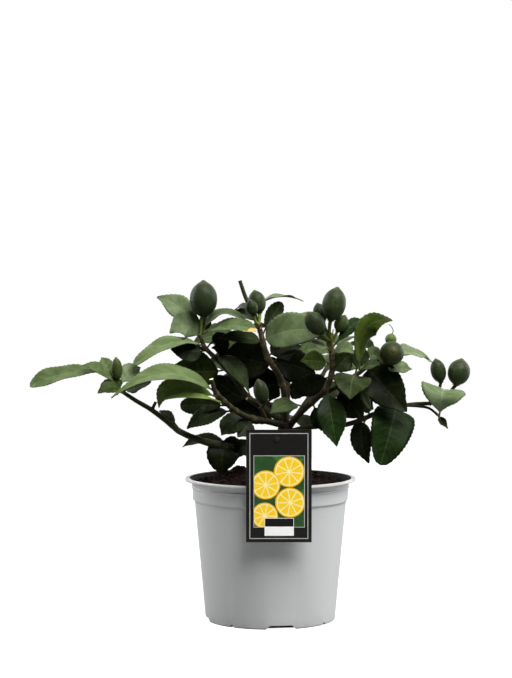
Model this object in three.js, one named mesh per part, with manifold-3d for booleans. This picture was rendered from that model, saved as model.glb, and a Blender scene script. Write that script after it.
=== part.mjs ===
// A young lemon tree in a grey nursery pot, with a picture card clipped to the rim.
// Millimetres, +Z up, +X to the right seen from the front, +Y away from the viewer.
// The origin is the centre of the pot's flat base.
import * as THREE from "three";
import { mergeVertices } from "three/addons/utils/BufferGeometryUtils.js";
import Module from "manifold-3d";

const wasm = await Module();
wasm.setup();

// ---------------------------------------------------------------- driving dimensions

const GAP = 0.3; // clearance between pieces that touch
const POT_SIDES = 32;
const LIP_RADIUS = 95;
const RIM_Z = 158;
const FLOOR_THICKNESS = 2.4;
const FOOT_RADIUS = 72.2;
const NOTCH_TURN = 9; // degrees from the front to the first wide notch
const WIDE_NOTCH = { width: 34, top: 25, height: 4.5 };
const SMALL_NOTCH = { width: 6, top: 1.5, height: 3.5 };

const CARD = { width: 70, height: 120.5, thickness: 0.8, x: 8.4, bottom: 99, back: -96.8 };
const CARD_HOLE = { x: 6.3, z: 208.8, radius: 2.4 };
const CLIP = { width: 12, thickness: 1.2, inner: -82.6, foot: 140, insideFoot: 147, top: 213 };

const STEM_SIDES = 5;
const FRUIT_SIDES = 8;
const BLADE_THICKNESS = 0.8;
const PETIOLE_THICKNESS = 1.8;

const LEAF_FOLD = 0.2; // how far the edges rise beside the midrib, for each unit of half width
const TOOTH_DEPTH = 0.07;
const LARGE_LEAF = 35; // wider blades have more and smaller teeth

// How a blade's width runs from its base to its tip: skew moves the widest place, fullness rounds the ends.
// petiole is the length of the leaf's own stalk.
const OVAL = { skew: 0.85, fullness: 0.8, petiole: 9 };
const LANCE = { skew: 0.85, fullness: 1.1, petiole: 9 };
const TAPER = { skew: 0.7, fullness: 1, petiole: 9 };
const BLUNT = { skew: 1.1, fullness: 0.5, petiole: 9 };
const CUT = { skew: 1.4, fullness: 0.45, petiole: 9 };
const FAR = { skew: 1.3, fullness: 0.8, petiole: 9 };
const CREST = { skew: 0.85, fullness: 0.55, petiole: 9 };
const WIDE = { skew: 0.75, fullness: 0.65, petiole: 5 };
const BROAD = { skew: 0.62, fullness: 0.55, petiole: 3 };
const ROUND = { skew: 0.58, fullness: 0.45, petiole: 3 };

// ---------------------------------------------------------------- the plant's layout

function stem(points, baseRadius, tipRadius) {
  return { points, baseRadius, tipRadius };
}

// A leaf runs from its root on a stem, past its middle, to its tip. face is the way its upper side looks.
function leaf(root, middle, tip, width, face, shape = OVAL) {
  return { root, middle, tip, width, face, shape };
}

const trunkStem = stem([[1, 10, 112], [3, 10, 150], [7, 9, 180], [13, 7, 204], [18, 6, 219]], 7, 6);

const shoots = [
  {
    name: "shoot_low_left",
    stems: [
      stem([[3, 9, 173], [-9, 4, 180], [-26, -12, 188], [-50, -28, 195], [-77, -40, 203], [-99, -45, 213],
        [-115, -48, 226], [-131, -50, 238], [-148, -50, 248], [-167, -50, 261]], 5.4, 2),
      stem([[-123, -49, 231], [-128, -51, 238], [-125, -51, 246]], 2.2, 1.6),
      stem([[-166, -50, 261], [-166, -52, 270]], 1.3, 1.9),
      stem([[-165, -50, 260], [-170, -49, 269], [-176, -50, 280]], 1.4, 1.1),
    ],
    leaves: [
      leaf([-175, -50, 279], [-222, -56, 277], [-261, -60, 263], 31, [0, -0.5, 0.87], CUT),
      leaf([-166, -50, 261], [-184, -58, 281], [-204, -62, 286], 16, [0.1, -0.7, 0.7]),
      leaf([-166, -50, 261], [-178, -36, 281], [-186, -24, 293], 18, [-0.3, -0.6, 0.7]),
      leaf([-163, -50, 258], [-172, -58, 263], [-187, -66, 256], 24, [-0.2, -0.8, 0.5], BROAD),
      leaf([-165, -50, 260], [-155, -38, 276], [-143, -26, 282], 24, [0.2, -0.8, 0.5]),
      leaf([-162, -50, 258], [-146, -60, 262], [-129, -68, 269], 24, [0, -0.6, 0.8]),
      leaf([-100, -46, 216], [-112, -42, 229], [-122, -40, 235], 15, [0, -0.6, 0.8]),
      leaf([-42, -25, 194], [-72, -12, 202], [-98, -5, 192], 17, [0, -0.7, 0.7]),
      leaf([-49, -28, 196], [-53, -36, 184], [-52, -32, 165], 37, [0, -1, 0.1], BROAD),
      leaf([-20, -8, 186], [-30, -22, 194], [-39, -26, 179], 20, [0.2, -0.9, 0.2]),
      leaf([-25, -12, 188], [-39, -22, 197], [-54, -30, 200], 18, [-0.3, -0.8, 0.5]),
    ],
  },
  {
    name: "shoot_mid_left",
    stems: [
      stem([[15, 4, 216], [-5, -14, 222], [-23, -30, 227], [-38, -48, 236], [-51, -62, 248], [-60, -70, 259],
        [-64, -74, 272]], 3.8, 2.3),
      stem([[-4, -13, 222], [-9, -18, 232], [-14, -24, 240], [-26, -30, 248]], 2.4, 1.6),
      stem([[-13, -23, 238], [-9, -29, 239], [-7, -32, 242]], 1.2, 2),
    ],
    leaves: [
      leaf([-58, -69, 256], [-113, -84, 278], [-170, -96, 253], 38, [0, -0.42, 0.9], TAPER),
      leaf([-51, -62, 248], [-102, -66, 263], [-121, -64, 240], 25, [0, -0.93, 0.35]),
      leaf([-38, -48, 236], [-68, -54, 231], [-91, -58, 217], 25, [-0.1, -0.75, 0.65]),
      leaf([-44, -55, 242], [-75, -46, 242], [-99, -36, 241], 24, [0, -0.9, 0.4], BLUNT),
      leaf([-20, -28, 226], [-40, -36, 221], [-54, -40, 208], 30, [-0.2, -0.8, 0.5]),
      leaf([-19, -26, 225], [-27, -38, 217], [-36, -48, 207], 24, [0, -0.9, 0.3]),
    ],
  },
  {
    name: "shoot_upper_left",
    stems: [
      stem([[16, 12, 219], [-5, 14, 232], [-25, 12, 247], [-42, 6, 270], [-54, 2, 284], [-66, -2, 296],
        [-74, -5, 305], [-78, -8, 318]], 4, 2),
      stem([[-70, -4, 300], [-77, -3, 302], [-84, -3, 309]], 1.8, 1.5),
      stem([[-78, -8, 317], [-77, -9, 326], [-76, -10, 337]], 1.4, 2.2),
    ],
    leaves: [
      leaf([-77, -7, 314], [-101, 8, 346], [-127, 18, 358], 30, [-0.1, -0.75, 0.6]),
      leaf([-75, -5, 306], [-92, -10, 327], [-111, -12, 319], 36, [-0.2, -0.8, 0.5]),
      leaf([-74, -5, 304], [-109, -28, 309], [-149, -44, 285], 28, [0, -0.45, 0.9], BLUNT),
      leaf([-70, -4, 300], [-89, -14, 299], [-110, -22, 302], 32, [0, -0.85, 0.5]),
      leaf([-49, 4, 278], [-81, 16, 275], [-110, 24, 281], 48, [0, -0.95, 0.2]),
      leaf([-24, 12, 245], [-43, 24, 251], [-67, 34, 272], 40, [0.3, -0.95, 0.2]),
      leaf([-70, -4, 303], [-58, 0, 310], [-53, -2, 288], 24, [0.2, -0.95, 0]),
      leaf([-77, -8, 317], [-46, -24, 328], [-16, -36, 322], 27, [0.1, -0.6, 0.8], BLUNT),
      leaf([-77, -8, 317], [-54, -8, 341], [-21, -8, 328], 28, [0, -0.3, 0.95]),
      leaf([-78, -8, 318], [-73, 4, 329], [-75, 10, 341], 15, [0.3, -0.9, 0.3]),
      leaf([-65, -2, 295], [-42, -14, 282], [-22, -22, 250], 32, [0.45, -0.6, 0.6], LANCE),
    ],
  },
  {
    name: "shoot_centre",
    stems: [
      stem([[17, 8, 217], [16, 2, 236], [15, -2, 254], [9, -6, 273], [-3, -9, 292], [-9, -9, 312],
        [-13, -8, 328], [-19, 1, 342], [-27, 7, 357], [-34, 10, 377]], 4, 2.1),
      stem([[-13, -8, 327], [-12, -8, 334], [-12, -8, 341]], 1.3, 2.2),
      stem([[-13, -8, 329], [-17, -17, 333], [-18, -23, 339]], 1.2, 1.8),
    ],
    leaves: [
      leaf([-13, -8, 329], [-28, 12, 339], [-44, 26, 341], 22, [0, -0.6, 0.8]),
      leaf([-18, 0, 340], [-31, 18, 348], [-41, 34, 341], 16, [0, -0.6, 0.8]),
      leaf([-20, 3, 345], [7, 6, 359], [37, 14, 354], 26, [0, -0.1, 1], LANCE),
      leaf([-9, -9, 316], [1, -2, 336], [13, 4, 353], 20, [0.4, -0.8, 0.4], BLUNT),
      leaf([-9, -9, 310], [25, -24, 323], [62, -20, 320], 42, [-0.05, -0.95, 0.3], WIDE),
      leaf([3, -7, 283], [-25, 8, 289], [-54, 18, 295], 48, [0, -0.97, 0.2], WIDE),
      leaf([-8, -9, 308], [-31, -14, 315], [-57, -12, 314], 20, [0, -0.8, 0.6], WIDE),
      leaf([-3, -9, 293], [11, 6, 300], [35, 14, 304], 32, [0, -0.97, 0.2]),
      leaf([-1, -8, 288], [23, 10, 283], [51, 20, 273], 40, [0, -1, 0.15]),
      leaf([13, -3, 262], [5, 6, 255], [-1, 10, 242], 18, [0, -1, 0.1]),
    ],
  },
  {
    name: "shoot_right_centre",
    stems: [
      stem([[20, 6, 214], [36, -12, 234], [50, -20, 247], [62, -28, 260], [67, -32, 276], [67, -35, 296],
        [65, -36, 315]], 4, 2.6),
      stem([[65, -36, 313], [64, -40, 324], [65, -44, 334]], 1.6, 2.2),
      stem([[65, -36, 312], [60, -44, 315], [56, -52, 320]], 1.4, 2),
      stem([[65, -36, 314], [61, -31, 323], [58, -28, 332]], 1.3, 1.7),
      stem([[65, -36, 312], [70, -35, 316], [73, -34, 322]], 1.3, 1.7),
    ],
    leaves: [
      leaf([65, -35, 302], [54, -42, 307], [43, -48, 312], 14, [0, -0.7, 0.7]),
      leaf([67, -34, 286], [50, -48, 290], [32, -60, 291], 24, [0, -0.9, 0.3]),
      leaf([67, -32, 275], [77, -26, 286], [89, -20, 300], 26, [0.1, -0.95, 0.2]),
      leaf([66, -34, 294], [78, -46, 304], [90, -54, 298], 20, [0, -0.8, 0.6]),
      leaf([66, -35, 302], [87, -28, 326], [100, -20, 335], 16, [0, -0.9, 0.4]),
      leaf([66, -31, 273], [47, -16, 263], [22, -6, 252], 26, [0, -0.97, 0.2]),
      leaf([62, -28, 259], [66, -44, 231], [72, -50, 197], 34, [0, -1, 0.15]),
      leaf([46, -18, 243], [52, -26, 228], [56, -28, 212], 20, [-0.3, -0.9, 0]),
      leaf([35, -12, 238], [18, -30, 241], [-1, -42, 232], 26, [0, -0.6, 0.8]),
    ],
  },
  {
    name: "shoot_right_upper",
    stems: [
      stem([[50, -21, 249], [72, -16, 259], [93, -12, 272], [111, -10, 283], [127, -6, 287],
        [141, 0, 291]], 2.8, 1.6),
      stem([[129, -6, 287], [131, -12, 290], [132, -16, 294]], 1.3, 2),
      stem([[133, -4, 288], [133, -1, 297], [132, -6, 306]], 1.1, 1.5),
    ],
    leaves: [
      leaf([99, -12, 276], [103, -36, 323], [133, -42, 334], 27, [0.5, -0.75, 0.4], CREST),
      leaf([94, -12, 274], [99, -4, 291], [105, 2, 304], 22, [0, -0.95, 0.3]),
      leaf([141, 0, 291], [159, 16, 296], [184, 32, 284], 37, [0.1, -0.35, 0.94]),
      leaf([112, -10, 283], [115, 2, 294], [127, 10, 286], 22, [0.2, -0.9, 0.3]),
      leaf([129, -5, 288], [140, -16, 281], [156, -22, 280], 26, [0.1, -0.6, 0.8]),
      leaf([107, -10, 282], [124, -18, 262], [150, -26, 233], 47, [-0.1, -0.95, 0.4], WIDE),
      leaf([94, -12, 273], [89, -38, 268], [86, -58, 249], 44, [0, -0.7, 0.7]),
      leaf([97, -12, 274], [105, -26, 283], [120, -36, 285], 26, [0, -0.6, 0.8]),
      leaf([72, -16, 260], [86, -20, 245], [102, -24, 225], 40, [0, -1, 0.1]),
      leaf([94, -12, 272], [102, -30, 252], [110, -38, 235], 10, [0, -1, 0.2]),
    ],
  },
  {
    name: "shoot_right_low",
    stems: [
      stem([[20, 7, 208], [46, 6, 214], [83, -2, 217], [99, -5, 222], [116, -2, 229], [139, 3, 236],
        [158, 6, 239], [179, 9, 240]], 3.3, 2.2),
      stem([[153, 5, 238], [166, 4, 237], [177, 1, 235], [186, -5, 228]], 1.7, 1.3),
      stem([[178, 9, 238], [187, 12, 248], [191, 14, 263]], 1.6, 1.8),
      stem([[186, 12, 247], [199, 15, 251], [208, 16, 260]], 1.4, 2.1),
    ],
    leaves: [
      leaf([140, 2, 236], [132, -16, 209], [121, -24, 174], 50, [0.1, -1, 0.15], ROUND),
      leaf([106, -5, 223], [101, -6, 202], [110, -4, 174], 26, [-0.3, -0.95, 0], WIDE),
      leaf([112, -2, 227], [108, -8, 236], [114, -12, 246], 14, [0, -1, 0.1]),
      leaf([187, -5, 222], [189, -24, 251], [194, 14, 255], 52, [0, -0.85, 0.5], FAR),
      leaf([186, -4, 228], [190, -6, 222], [197, -8, 213], 11, [0.5, -0.8, 0.2]),
    ],
  },
  {
    name: "shoot_rear_left",
    stems: [
      stem([[15, 12, 214], [-8, 36, 246], [-24, 60, 278], [-36, 78, 304]], 3.6, 1.8),
    ],
    leaves: [
      leaf([-10, 39, 250], [-34, 62, 262], [-60, 76, 254], 36, [-0.1, 0.5, 0.85]),
      leaf([-12, 42, 254], [8, 72, 264], [20, 98, 254], 34, [0.2, 0.6, 0.8]),
      leaf([-20, 54, 270], [-46, 66, 284], [-74, 72, 278], 40, [-0.3, -0.6, 0.75]),
      leaf([-26, 62, 280], [-22, 92, 292], [-24, 122, 278], 38, [0, 0.5, 0.85]),
      leaf([-32, 70, 292], [-58, 62, 312], [-88, 58, 304], 38, [-0.2, -0.7, 0.7]),
      leaf([-35, 76, 301], [-44, 104, 316], [-60, 128, 306], 40, [-0.2, 0.4, 0.9]),
    ],
  },
  {
    name: "shoot_rear_right",
    stems: [
      stem([[22, 12, 214], [44, 38, 244], [62, 62, 272], [76, 84, 296]], 3.6, 1.8),
    ],
    leaves: [
      leaf([40, 33, 238], [66, 48, 252], [92, 56, 242], 34, [0.2, -0.6, 0.75]),
      leaf([50, 46, 253], [42, 76, 266], [30, 104, 256], 36, [-0.2, 0.5, 0.85]),
      leaf([60, 60, 270], [88, 70, 283], [118, 78, 272], 40, [0.3, -0.5, 0.8]),
      leaf([64, 66, 276], [64, 96, 290], [72, 126, 278], 38, [0, 0.5, 0.85]),
      leaf([72, 78, 290], [98, 98, 302], [126, 112, 292], 38, [0.3, 0.4, 0.85]),
      leaf([76, 84, 296], [84, 110, 310], [84, 140, 304], 40, [0.1, 0.4, 0.9]),
      leaf([74, 80, 292], [56, 84, 314], [34, 88, 316], 32, [-0.3, 0.4, 0.85]),
    ],
  },
  {
    name: "shoot_rear_centre",
    stems: [
      stem([[18, 12, 219], [20, 34, 254], [22, 52, 290], [22, 66, 318]], 3.4, 1.8),
    ],
    leaves: [
      leaf([21, 40, 268], [0, 30, 284], [-26, 26, 282], 34, [-0.3, 0.1, 0.9]),
      leaf([22, 50, 286], [48, 46, 299], [72, 42, 292], 34, [0.2, -0.6, 0.8]),
      leaf([22, 60, 304], [2, 76, 322], [-20, 98, 318], 36, [-0.2, 0.4, 0.9]),
      leaf([22, 66, 318], [26, 90, 336], [32, 116, 330], 36, [0.1, 0.4, 0.9]),
      leaf([22, 64, 314], [42, 58, 332], [62, 44, 328], 30, [0.2, 0, 0.95]),
      leaf([20, 33, 250], [-7, 30, 267], [-25, 32, 254], 26, [0, -0.95, 0.3]),
      leaf([20, 34, 254], [27, 33, 254], [43, 36, 247], 24, [0, -0.95, 0.3]),
    ],
  },
  {
    name: "shoot_rear_low",
    stems: [
      stem([[14, 8, 199], [18, 44, 216], [20, 84, 228]], 3, 1.8),
    ],
    leaves: [
      leaf([18, 44, 216], [-8, 58, 222], [-30, 66, 206], 34, [-0.2, 0.5, 0.85]),
      leaf([18, 50, 218], [36, 74, 218], [42, 96, 198], 34, [0.3, 0.5, 0.8]),
      leaf([19, 66, 223], [-6, 92, 232], [-26, 112, 220], 36, [-0.2, 0.6, 0.8]),
      leaf([20, 84, 228], [14, 112, 228], [8, 136, 206], 38, [0, 0.6, 0.8]),
      leaf([17, 34, 212], [-27, 36, 229], [-48, 40, 237], 28, [0, -0.95, 0.3]),
    ],
  },
];

// A fruit stands from its seat on a stalk to the point of its nipple.
const fruits = [
  { name: "fruit_low_left", seat: [-166, -52, 270], nipple: [-168, -54, 295], width: 12 },
  { name: "fruit_upper_left", seat: [-74, -10, 337], nipple: [-74, -12, 378], width: 31 },
  { name: "fruit_centre_small", seat: [-18, -23, 339], nipple: [-23, -25, 357], width: 13 },
  { name: "fruit_centre_large", seat: [-12, -8, 341], nipple: [-18, -6, 367], width: 19 },
  { name: "fruit_right_top", seat: [65, -44, 334], nipple: [73, -46, 371], width: 26 },
  { name: "fruit_right_front", seat: [56, -52, 320], nipple: [40, -58, 344], width: 20.5 },
  { name: "fruit_right_rear", seat: [58, -28, 332], nipple: [51, -24, 353], width: 15 },
  { name: "fruit_right_side", seat: [73, -34, 322], nipple: [82, -32, 340], width: 15 },
  { name: "fruit_front", seat: [-7, -32, 242], nipple: [-14, -36, 270], width: 16.5 },
  { name: "fruit_young", seat: [132, -6, 306], nipple: [135, -8, 319], width: 13 },
  { name: "fruit_end_on", seat: [132, -16, 294], nipple: [134, -44, 302], width: 26.5 },
  { name: "fruit_far_right_small", seat: [191, 14, 263], nipple: [185, 16, 290], width: 17 },
  { name: "fruit_far_right_large", seat: [208, 16, 260], nipple: [215, 18, 290], width: 25.5 },
];

// ---------------------------------------------------------------- materials

function material(colour, roughness) {
  return new THREE.MeshStandardMaterial({ color: colour, roughness, metalness: 0 });
}

const potPlastic = material(0x9d9f9f, 0.55);
const soilMaterial = material(0x2a1c18, 0.95);
const cardMaterial = material(0x1c1b1b, 0.4);
const clipPlastic = material(0x202020, 0.45);
const barkMaterial = material(0x57503a, 0.8);
const leafMaterial = material(0x3c5733, 0.45);
const fruitMaterial = material(0x33502f, 0.5);

// ---------------------------------------------------------------- geometry helpers

function vector(point) {
  return new THREE.Vector3(...point);
}

// Joins rings of equal size into one closed body. The second half of each ring's quads is split the other
// way, so that the upper and lower faces of a blade, which face each other, have the same triangles.
function loft(rings) {
  const size = rings[0].length;
  const positions = rings.flat().flatMap((point) => point.toArray());
  const triangles = [];
  for (let ring = 0; ring < rings.length - 1; ring++) {
    for (let side = 0; side < size; side++) {
      const a = ring * size + side;
      const b = ring * size + ((side + 1) % size);
      const c = b + size;
      const d = a + size;
      const split = side < size / 2 ? [a, b, c, a, c, d] : [a, b, d, b, c, d];
      triangles.push(...split);
    }
  }
  const last = (rings.length - 1) * size;
  for (let side = 2; side < size; side++) {
    const next = (side + 1) % size;
    triangles.push(1, next, side);
    triangles.push(last + 1, last + side, last + next);
  }
  const geometry = new THREE.BufferGeometry();
  geometry.setAttribute("position", new THREE.Float32BufferAttribute(positions, 3));
  geometry.setIndex(triangles);
  return geometry;
}

function toSolid(geometry) {
  const bare = geometry.clone();
  bare.deleteAttribute("normal");
  bare.deleteAttribute("uv");
  const merged = mergeVertices(bare, 1e-5);
  return new wasm.Manifold(new wasm.Mesh({
    numProp: 3,
    vertProperties: new Float32Array(merged.attributes.position.array),
    triVerts: new Uint32Array(merged.index.array),
  }));
}

function toGeometry(solid) {
  const mesh = solid.getMesh();
  const geometry = new THREE.BufferGeometry();
  geometry.setAttribute("position", new THREE.BufferAttribute(mesh.vertProperties, 3));
  geometry.setIndex(new THREE.BufferAttribute(mesh.triVerts, 1));
  geometry.computeVertexNormals();
  return geometry;
}

// Keeps the largest body: loose scraps are dropped and sealed hollows are filled.
function largestBody(solid) {
  return solid.decompose().reduce((best, body) => (body.volume() > best.volume() ? body : best));
}

function joinAll(solids) {
  return solids.reduce((sum, solid) => sum.add(solid));
}

function addMesh(parent, name, geometry, meshMaterial) {
  const mesh = new THREE.Mesh(geometry, meshMaterial);
  mesh.name = name;
  parent.add(mesh);
  return mesh;
}

// ---------------------------------------------------------------- pot

// Outside from the foot up to the lip, then down the inside to the floor: [radius, height].
const potOutside = [
  [0, 0], [71, 0], [FOOT_RADIUS, 1.2], [84.3, 132], [86.3, 134], [86.9, 146.6], [87.9, 147.5], [87.9, 148.8],
  [87.1, 149.6], [87.6, 152.5], [91.5, 154.6], [LIP_RADIUS, 155.3], [LIP_RADIUS, 157.4], [94.3, RIM_Z],
];
const potInside = [
  [90.2, RIM_Z], [89.4, 157.3], [87.2, 154.5], [85.4, 150], [84.6, 134], [82.8, 131.4],
  [70.6, FLOOR_THICKNESS], [0, FLOOR_THICKNESS],
];

function notch({ width, top, height }, degrees) {
  const outline = new THREE.Shape([
    new THREE.Vector2(-width / 2, -1),
    new THREE.Vector2(width / 2, -1),
    new THREE.Vector2(width / 2, 0),
    new THREE.Vector2(top / 2, height),
    new THREE.Vector2(-top / 2, height),
    new THREE.Vector2(-width / 2, 0),
  ]);
  const cutter = new THREE.ExtrudeGeometry(outline, { depth: 16, bevelEnabled: false });
  cutter.rotateX(Math.PI / 2);
  cutter.translate(0, -(FOOT_RADIUS - 12), 0);
  cutter.rotateZ(THREE.MathUtils.degToRad(degrees));
  return toSolid(cutter);
}

function buildPot() {
  const profile = [...potOutside, ...potInside].map(([radius, height]) => new THREE.Vector2(radius, height));
  let shell = toSolid(new THREE.LatheGeometry(profile, POT_SIDES).rotateX(Math.PI / 2));
  for (let quarter = 0; quarter < 4; quarter++) {
    shell = shell.subtract(notch(WIDE_NOTCH, NOTCH_TURN + 90 * quarter));
    shell = shell.subtract(notch(SMALL_NOTCH, NOTCH_TURN + 90 * quarter + 45));
  }
  return toGeometry(shell);
}

// ---------------------------------------------------------------- soil

const SOIL_RINGS = [0.14, 0.34, 0.54, 0.72, 0.88, 1];
const SOIL_EDGE_RADIUS = 84.8;
const SOIL_EDGE_Z = 151;
const SOIL_HEAP = 9;
const SOIL_CLUMPS = [
  { x: -30, y: 6, height: 7, spread: 15 },
  { x: -76, y: -8, height: 2.5, spread: 9 },
  { x: 62, y: -22, height: 3, spread: 12 },
];

function soilHeight(x, y) {
  const reach = Math.hypot(x, y) / SOIL_EDGE_RADIUS;
  const heap = SOIL_HEAP * (1 - reach ** 4);
  const lumps = 1.3 * Math.sin(0.19 * x + 1.1) * Math.cos(0.23 * y) + 1.2 * Math.sin(0.31 * y + 0.17 * x + 2);
  const clumps = SOIL_CLUMPS.reduce((sum, clump) => {
    const away = Math.hypot(x - clump.x, y - clump.y) / clump.spread;
    return sum + clump.height * Math.exp(-(away ** 2));
  }, 0);
  return SOIL_EDGE_Z + heap + clumps + lumps * (1 - 0.6 * reach);
}

function soilRing(radius, heightAt) {
  return Array.from({ length: POT_SIDES }, (_, side) => {
    const turn = (2 * Math.PI * side) / POT_SIDES;
    const x = radius * Math.sin(turn);
    const y = -radius * Math.cos(turn);
    return new THREE.Vector3(x, y, heightAt(x, y));
  });
}

function buildSoil() {
  const wall = [[70.2, FLOOR_THICKNESS + GAP], [82.4, 131.6], [84.2, 134.3]];
  const rings = wall.map(([radius, height]) => soilRing(radius, () => height));
  for (const share of [...SOIL_RINGS].reverse()) {
    rings.push(soilRing(SOIL_EDGE_RADIUS * share, soilHeight));
  }
  const clipSlot = new THREE.BoxGeometry(CLIP.width + 2 * GAP, CLIP.thickness + 2 * GAP, 20);
  clipSlot.translate(CARD.x, CLIP.inner - CLIP.thickness / 2, CLIP.insideFoot - GAP + 10);
  const solid = toSolid(loft(rings)).subtract(toSolid(clipSlot)).subtract(stemSolid(trunkStem, GAP));
  return toGeometry(largestBody(solid));
}

// ---------------------------------------------------------------- card and clip

function buildCard() {
  const left = CARD.x - CARD.width / 2;
  const right = CARD.x + CARD.width / 2;
  const top = CARD.bottom + CARD.height;
  const outline = new THREE.Shape([
    new THREE.Vector2(left, CARD.bottom),
    new THREE.Vector2(right, CARD.bottom),
    new THREE.Vector2(right, top),
    new THREE.Vector2(left, top),
  ]);
  const hole = new THREE.Path();
  hole.absarc(CARD_HOLE.x, CARD_HOLE.z, CARD_HOLE.radius, 0, 2 * Math.PI, true);
  outline.holes.push(hole);
  const card = new THREE.ExtrudeGeometry(outline, {
    depth: CARD.thickness,
    bevelEnabled: false,
    curveSegments: 8,
  });
  card.rotateX(Math.PI / 2);
  card.translate(0, CARD.back, 0);
  return toGeometry(toSolid(card));
}

function clipDisc(radius, length, front) {
  const disc = new THREE.CylinderGeometry(radius, radius, length, 12);
  disc.translate(CARD_HOLE.x, front + length / 2, CARD_HOLE.z);
  return toSolid(disc);
}

// A bent strip over the rim: a short leg inside, a long tab behind the card and a pin through its hole.
function buildClip() {
  const back = CARD.back + GAP;
  const inner = CLIP.inner;
  const bridge = RIM_Z + GAP;
  const outline = new THREE.Shape([
    new THREE.Vector2(back, CLIP.foot),
    new THREE.Vector2(back + CLIP.thickness, CLIP.foot),
    new THREE.Vector2(back + CLIP.thickness, bridge),
    new THREE.Vector2(inner - CLIP.thickness, bridge),
    new THREE.Vector2(inner - CLIP.thickness, CLIP.insideFoot),
    new THREE.Vector2(inner, CLIP.insideFoot),
    new THREE.Vector2(inner, bridge + CLIP.thickness),
    new THREE.Vector2(back + CLIP.thickness, bridge + CLIP.thickness),
    new THREE.Vector2(back + CLIP.thickness, CLIP.top),
    new THREE.Vector2(back, CLIP.top),
  ]);
  const strip = new THREE.ExtrudeGeometry(outline, { depth: CLIP.width, bevelEnabled: false });
  const acrossTheRim = new THREE.Vector3(0, 1, 0);
  const up = new THREE.Vector3(0, 0, 1);
  const alongTheRim = new THREE.Vector3(1, 0, 0);
  strip.applyMatrix4(new THREE.Matrix4().makeBasis(acrossTheRim, up, alongTheRim));
  strip.translate(CARD.x - CLIP.width / 2, 0, 0);
  const cardFront = CARD.back - CARD.thickness;
  const headThickness = 0.8;
  const headFront = cardFront - GAP - headThickness;
  const pin = clipDisc(CARD_HOLE.radius - GAP - 0.1, back + 0.6 - headFront, headFront);
  const head = clipDisc(CARD_HOLE.radius + 0.9, headThickness, headFront);
  return toGeometry(joinAll([toSolid(strip), pin, head]));
}

// ---------------------------------------------------------------- stems, leaves and fruits

function stemSolid({ points, baseRadius, tipRadius }, clearance = 0) {
  const path = new THREE.CatmullRomCurve3(points.map(vector), false, "centripetal");
  const steps = points.length + 1;
  const frames = path.computeFrenetFrames(steps, false);
  const rings = Array.from({ length: steps + 1 }, (_, step) => {
    const centre = path.getPointAt(step / steps);
    const radius = THREE.MathUtils.lerp(baseRadius, tipRadius, step / steps) + clearance;
    return Array.from({ length: STEM_SIDES }, (__, side) => {
      const turn = (2 * Math.PI * side) / STEM_SIDES;
      return centre.clone()
        .addScaledVector(frames.normals[step], radius * Math.cos(turn))
        .addScaledVector(frames.binormals[step], radius * Math.sin(turn));
    });
  });
  return outward(loft(rings));
}

function outward(geometry) {
  const solid = toSolid(geometry);
  if (solid.volume() > 0) {
    return solid;
  }
  const index = geometry.index.array;
  for (let corner = 0; corner < index.length; corner += 3) {
    [index[corner], index[corner + 1]] = [index[corner + 1], index[corner]];
  }
  return toSolid(geometry);
}

// Half the blade's width at a share of its length, for a blade of half width 1.
function leafOutline(share, { skew, fullness }) {
  return Math.max(0, Math.sin(Math.PI * share ** skew)) ** fullness;
}

function leafSolid({ root, middle, tip, width, face, shape }) {
  const start = vector(root);
  const end = vector(tip);
  const pull = vector(middle).multiplyScalar(2).addScaledVector(start, -0.5).addScaledVector(end, -0.5);
  const midrib = new THREE.QuadraticBezierCurve3(start, pull, end);
  const petiole = Math.min(0.2, shape.petiole / midrib.getLength());
  const segments = width > LARGE_LEAF ? 7 : 4;
  const up = vector(face);
  const rings = [];
  for (let station = -1; station <= segments; station++) {
    const share = Math.max(station, 0) / segments;
    const along = station < 0 ? 0 : petiole + (1 - petiole) * share;
    const tooth = station % 2 === 0 ? 1 - TOOTH_DEPTH : 1;
    const half = Math.max(0.6, leafOutline(share, shape) * tooth * width / 2, station <= 0 ? 1 : 0);
    const thickness = station <= 0 ? PETIOLE_THICKNESS : BLADE_THICKNESS;
    const centre = midrib.getPoint(along);
    const forward = midrib.getTangent(along);
    const side = new THREE.Vector3().crossVectors(forward, up).normalize();
    const normal = new THREE.Vector3().crossVectors(side, forward);
    const corner = (across, below) => centre.clone()
      .addScaledVector(side, across * half)
      .addScaledVector(normal, Math.abs(across) * half * LEAF_FOLD + thickness / 2 - below);
    rings.push([
      corner(-1, 0), corner(0, 0), corner(1, 0),
      corner(1, thickness), corner(0, thickness), corner(-1, thickness),
    ]);
  }
  return outward(loft(rings));
}

// Each shoot is cut clear of the trunk, the fruits and the stems of the shoots before it.
function buildShoots(parent) {
  let taken = joinAll([stemSolid(trunkStem, GAP), ...fruits.map((fruit) => placedFruit(fruit, GAP))]);
  for (const { name, stems, leaves } of shoots) {
    const grown = joinAll([...stems.map((one) => stemSolid(one)), ...leaves.map(leafSolid)]);
    addMesh(parent, name, toGeometry(largestBody(grown.subtract(taken))), leafMaterial);
    taken = joinAll([taken, ...stems.map((one) => stemSolid(one, GAP))]);
  }
}

// [share of the half width, share of the length], from the seat to the nipple.
const fruitProfile = [
  [0, 0], [0.25, 0], [0.8, 0.17], [1, 0.45], [0.88, 0.7], [0.5, 0.88], [0.2, 0.95], [0.12, 1], [0, 1],
];

// A fruit standing on its own origin, grown by the clearance on every side.
function fruitSkin({ seat, nipple, width }, clearance = 0) {
  const length = vector(nipple).distanceTo(vector(seat)) + 2 * clearance;
  const radius = width / 2 + clearance;
  const profile = fruitProfile.map(([wide, high]) => new THREE.Vector2(wide * radius, high * length - clearance));
  return new THREE.LatheGeometry(profile, FRUIT_SIDES);
}

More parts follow.
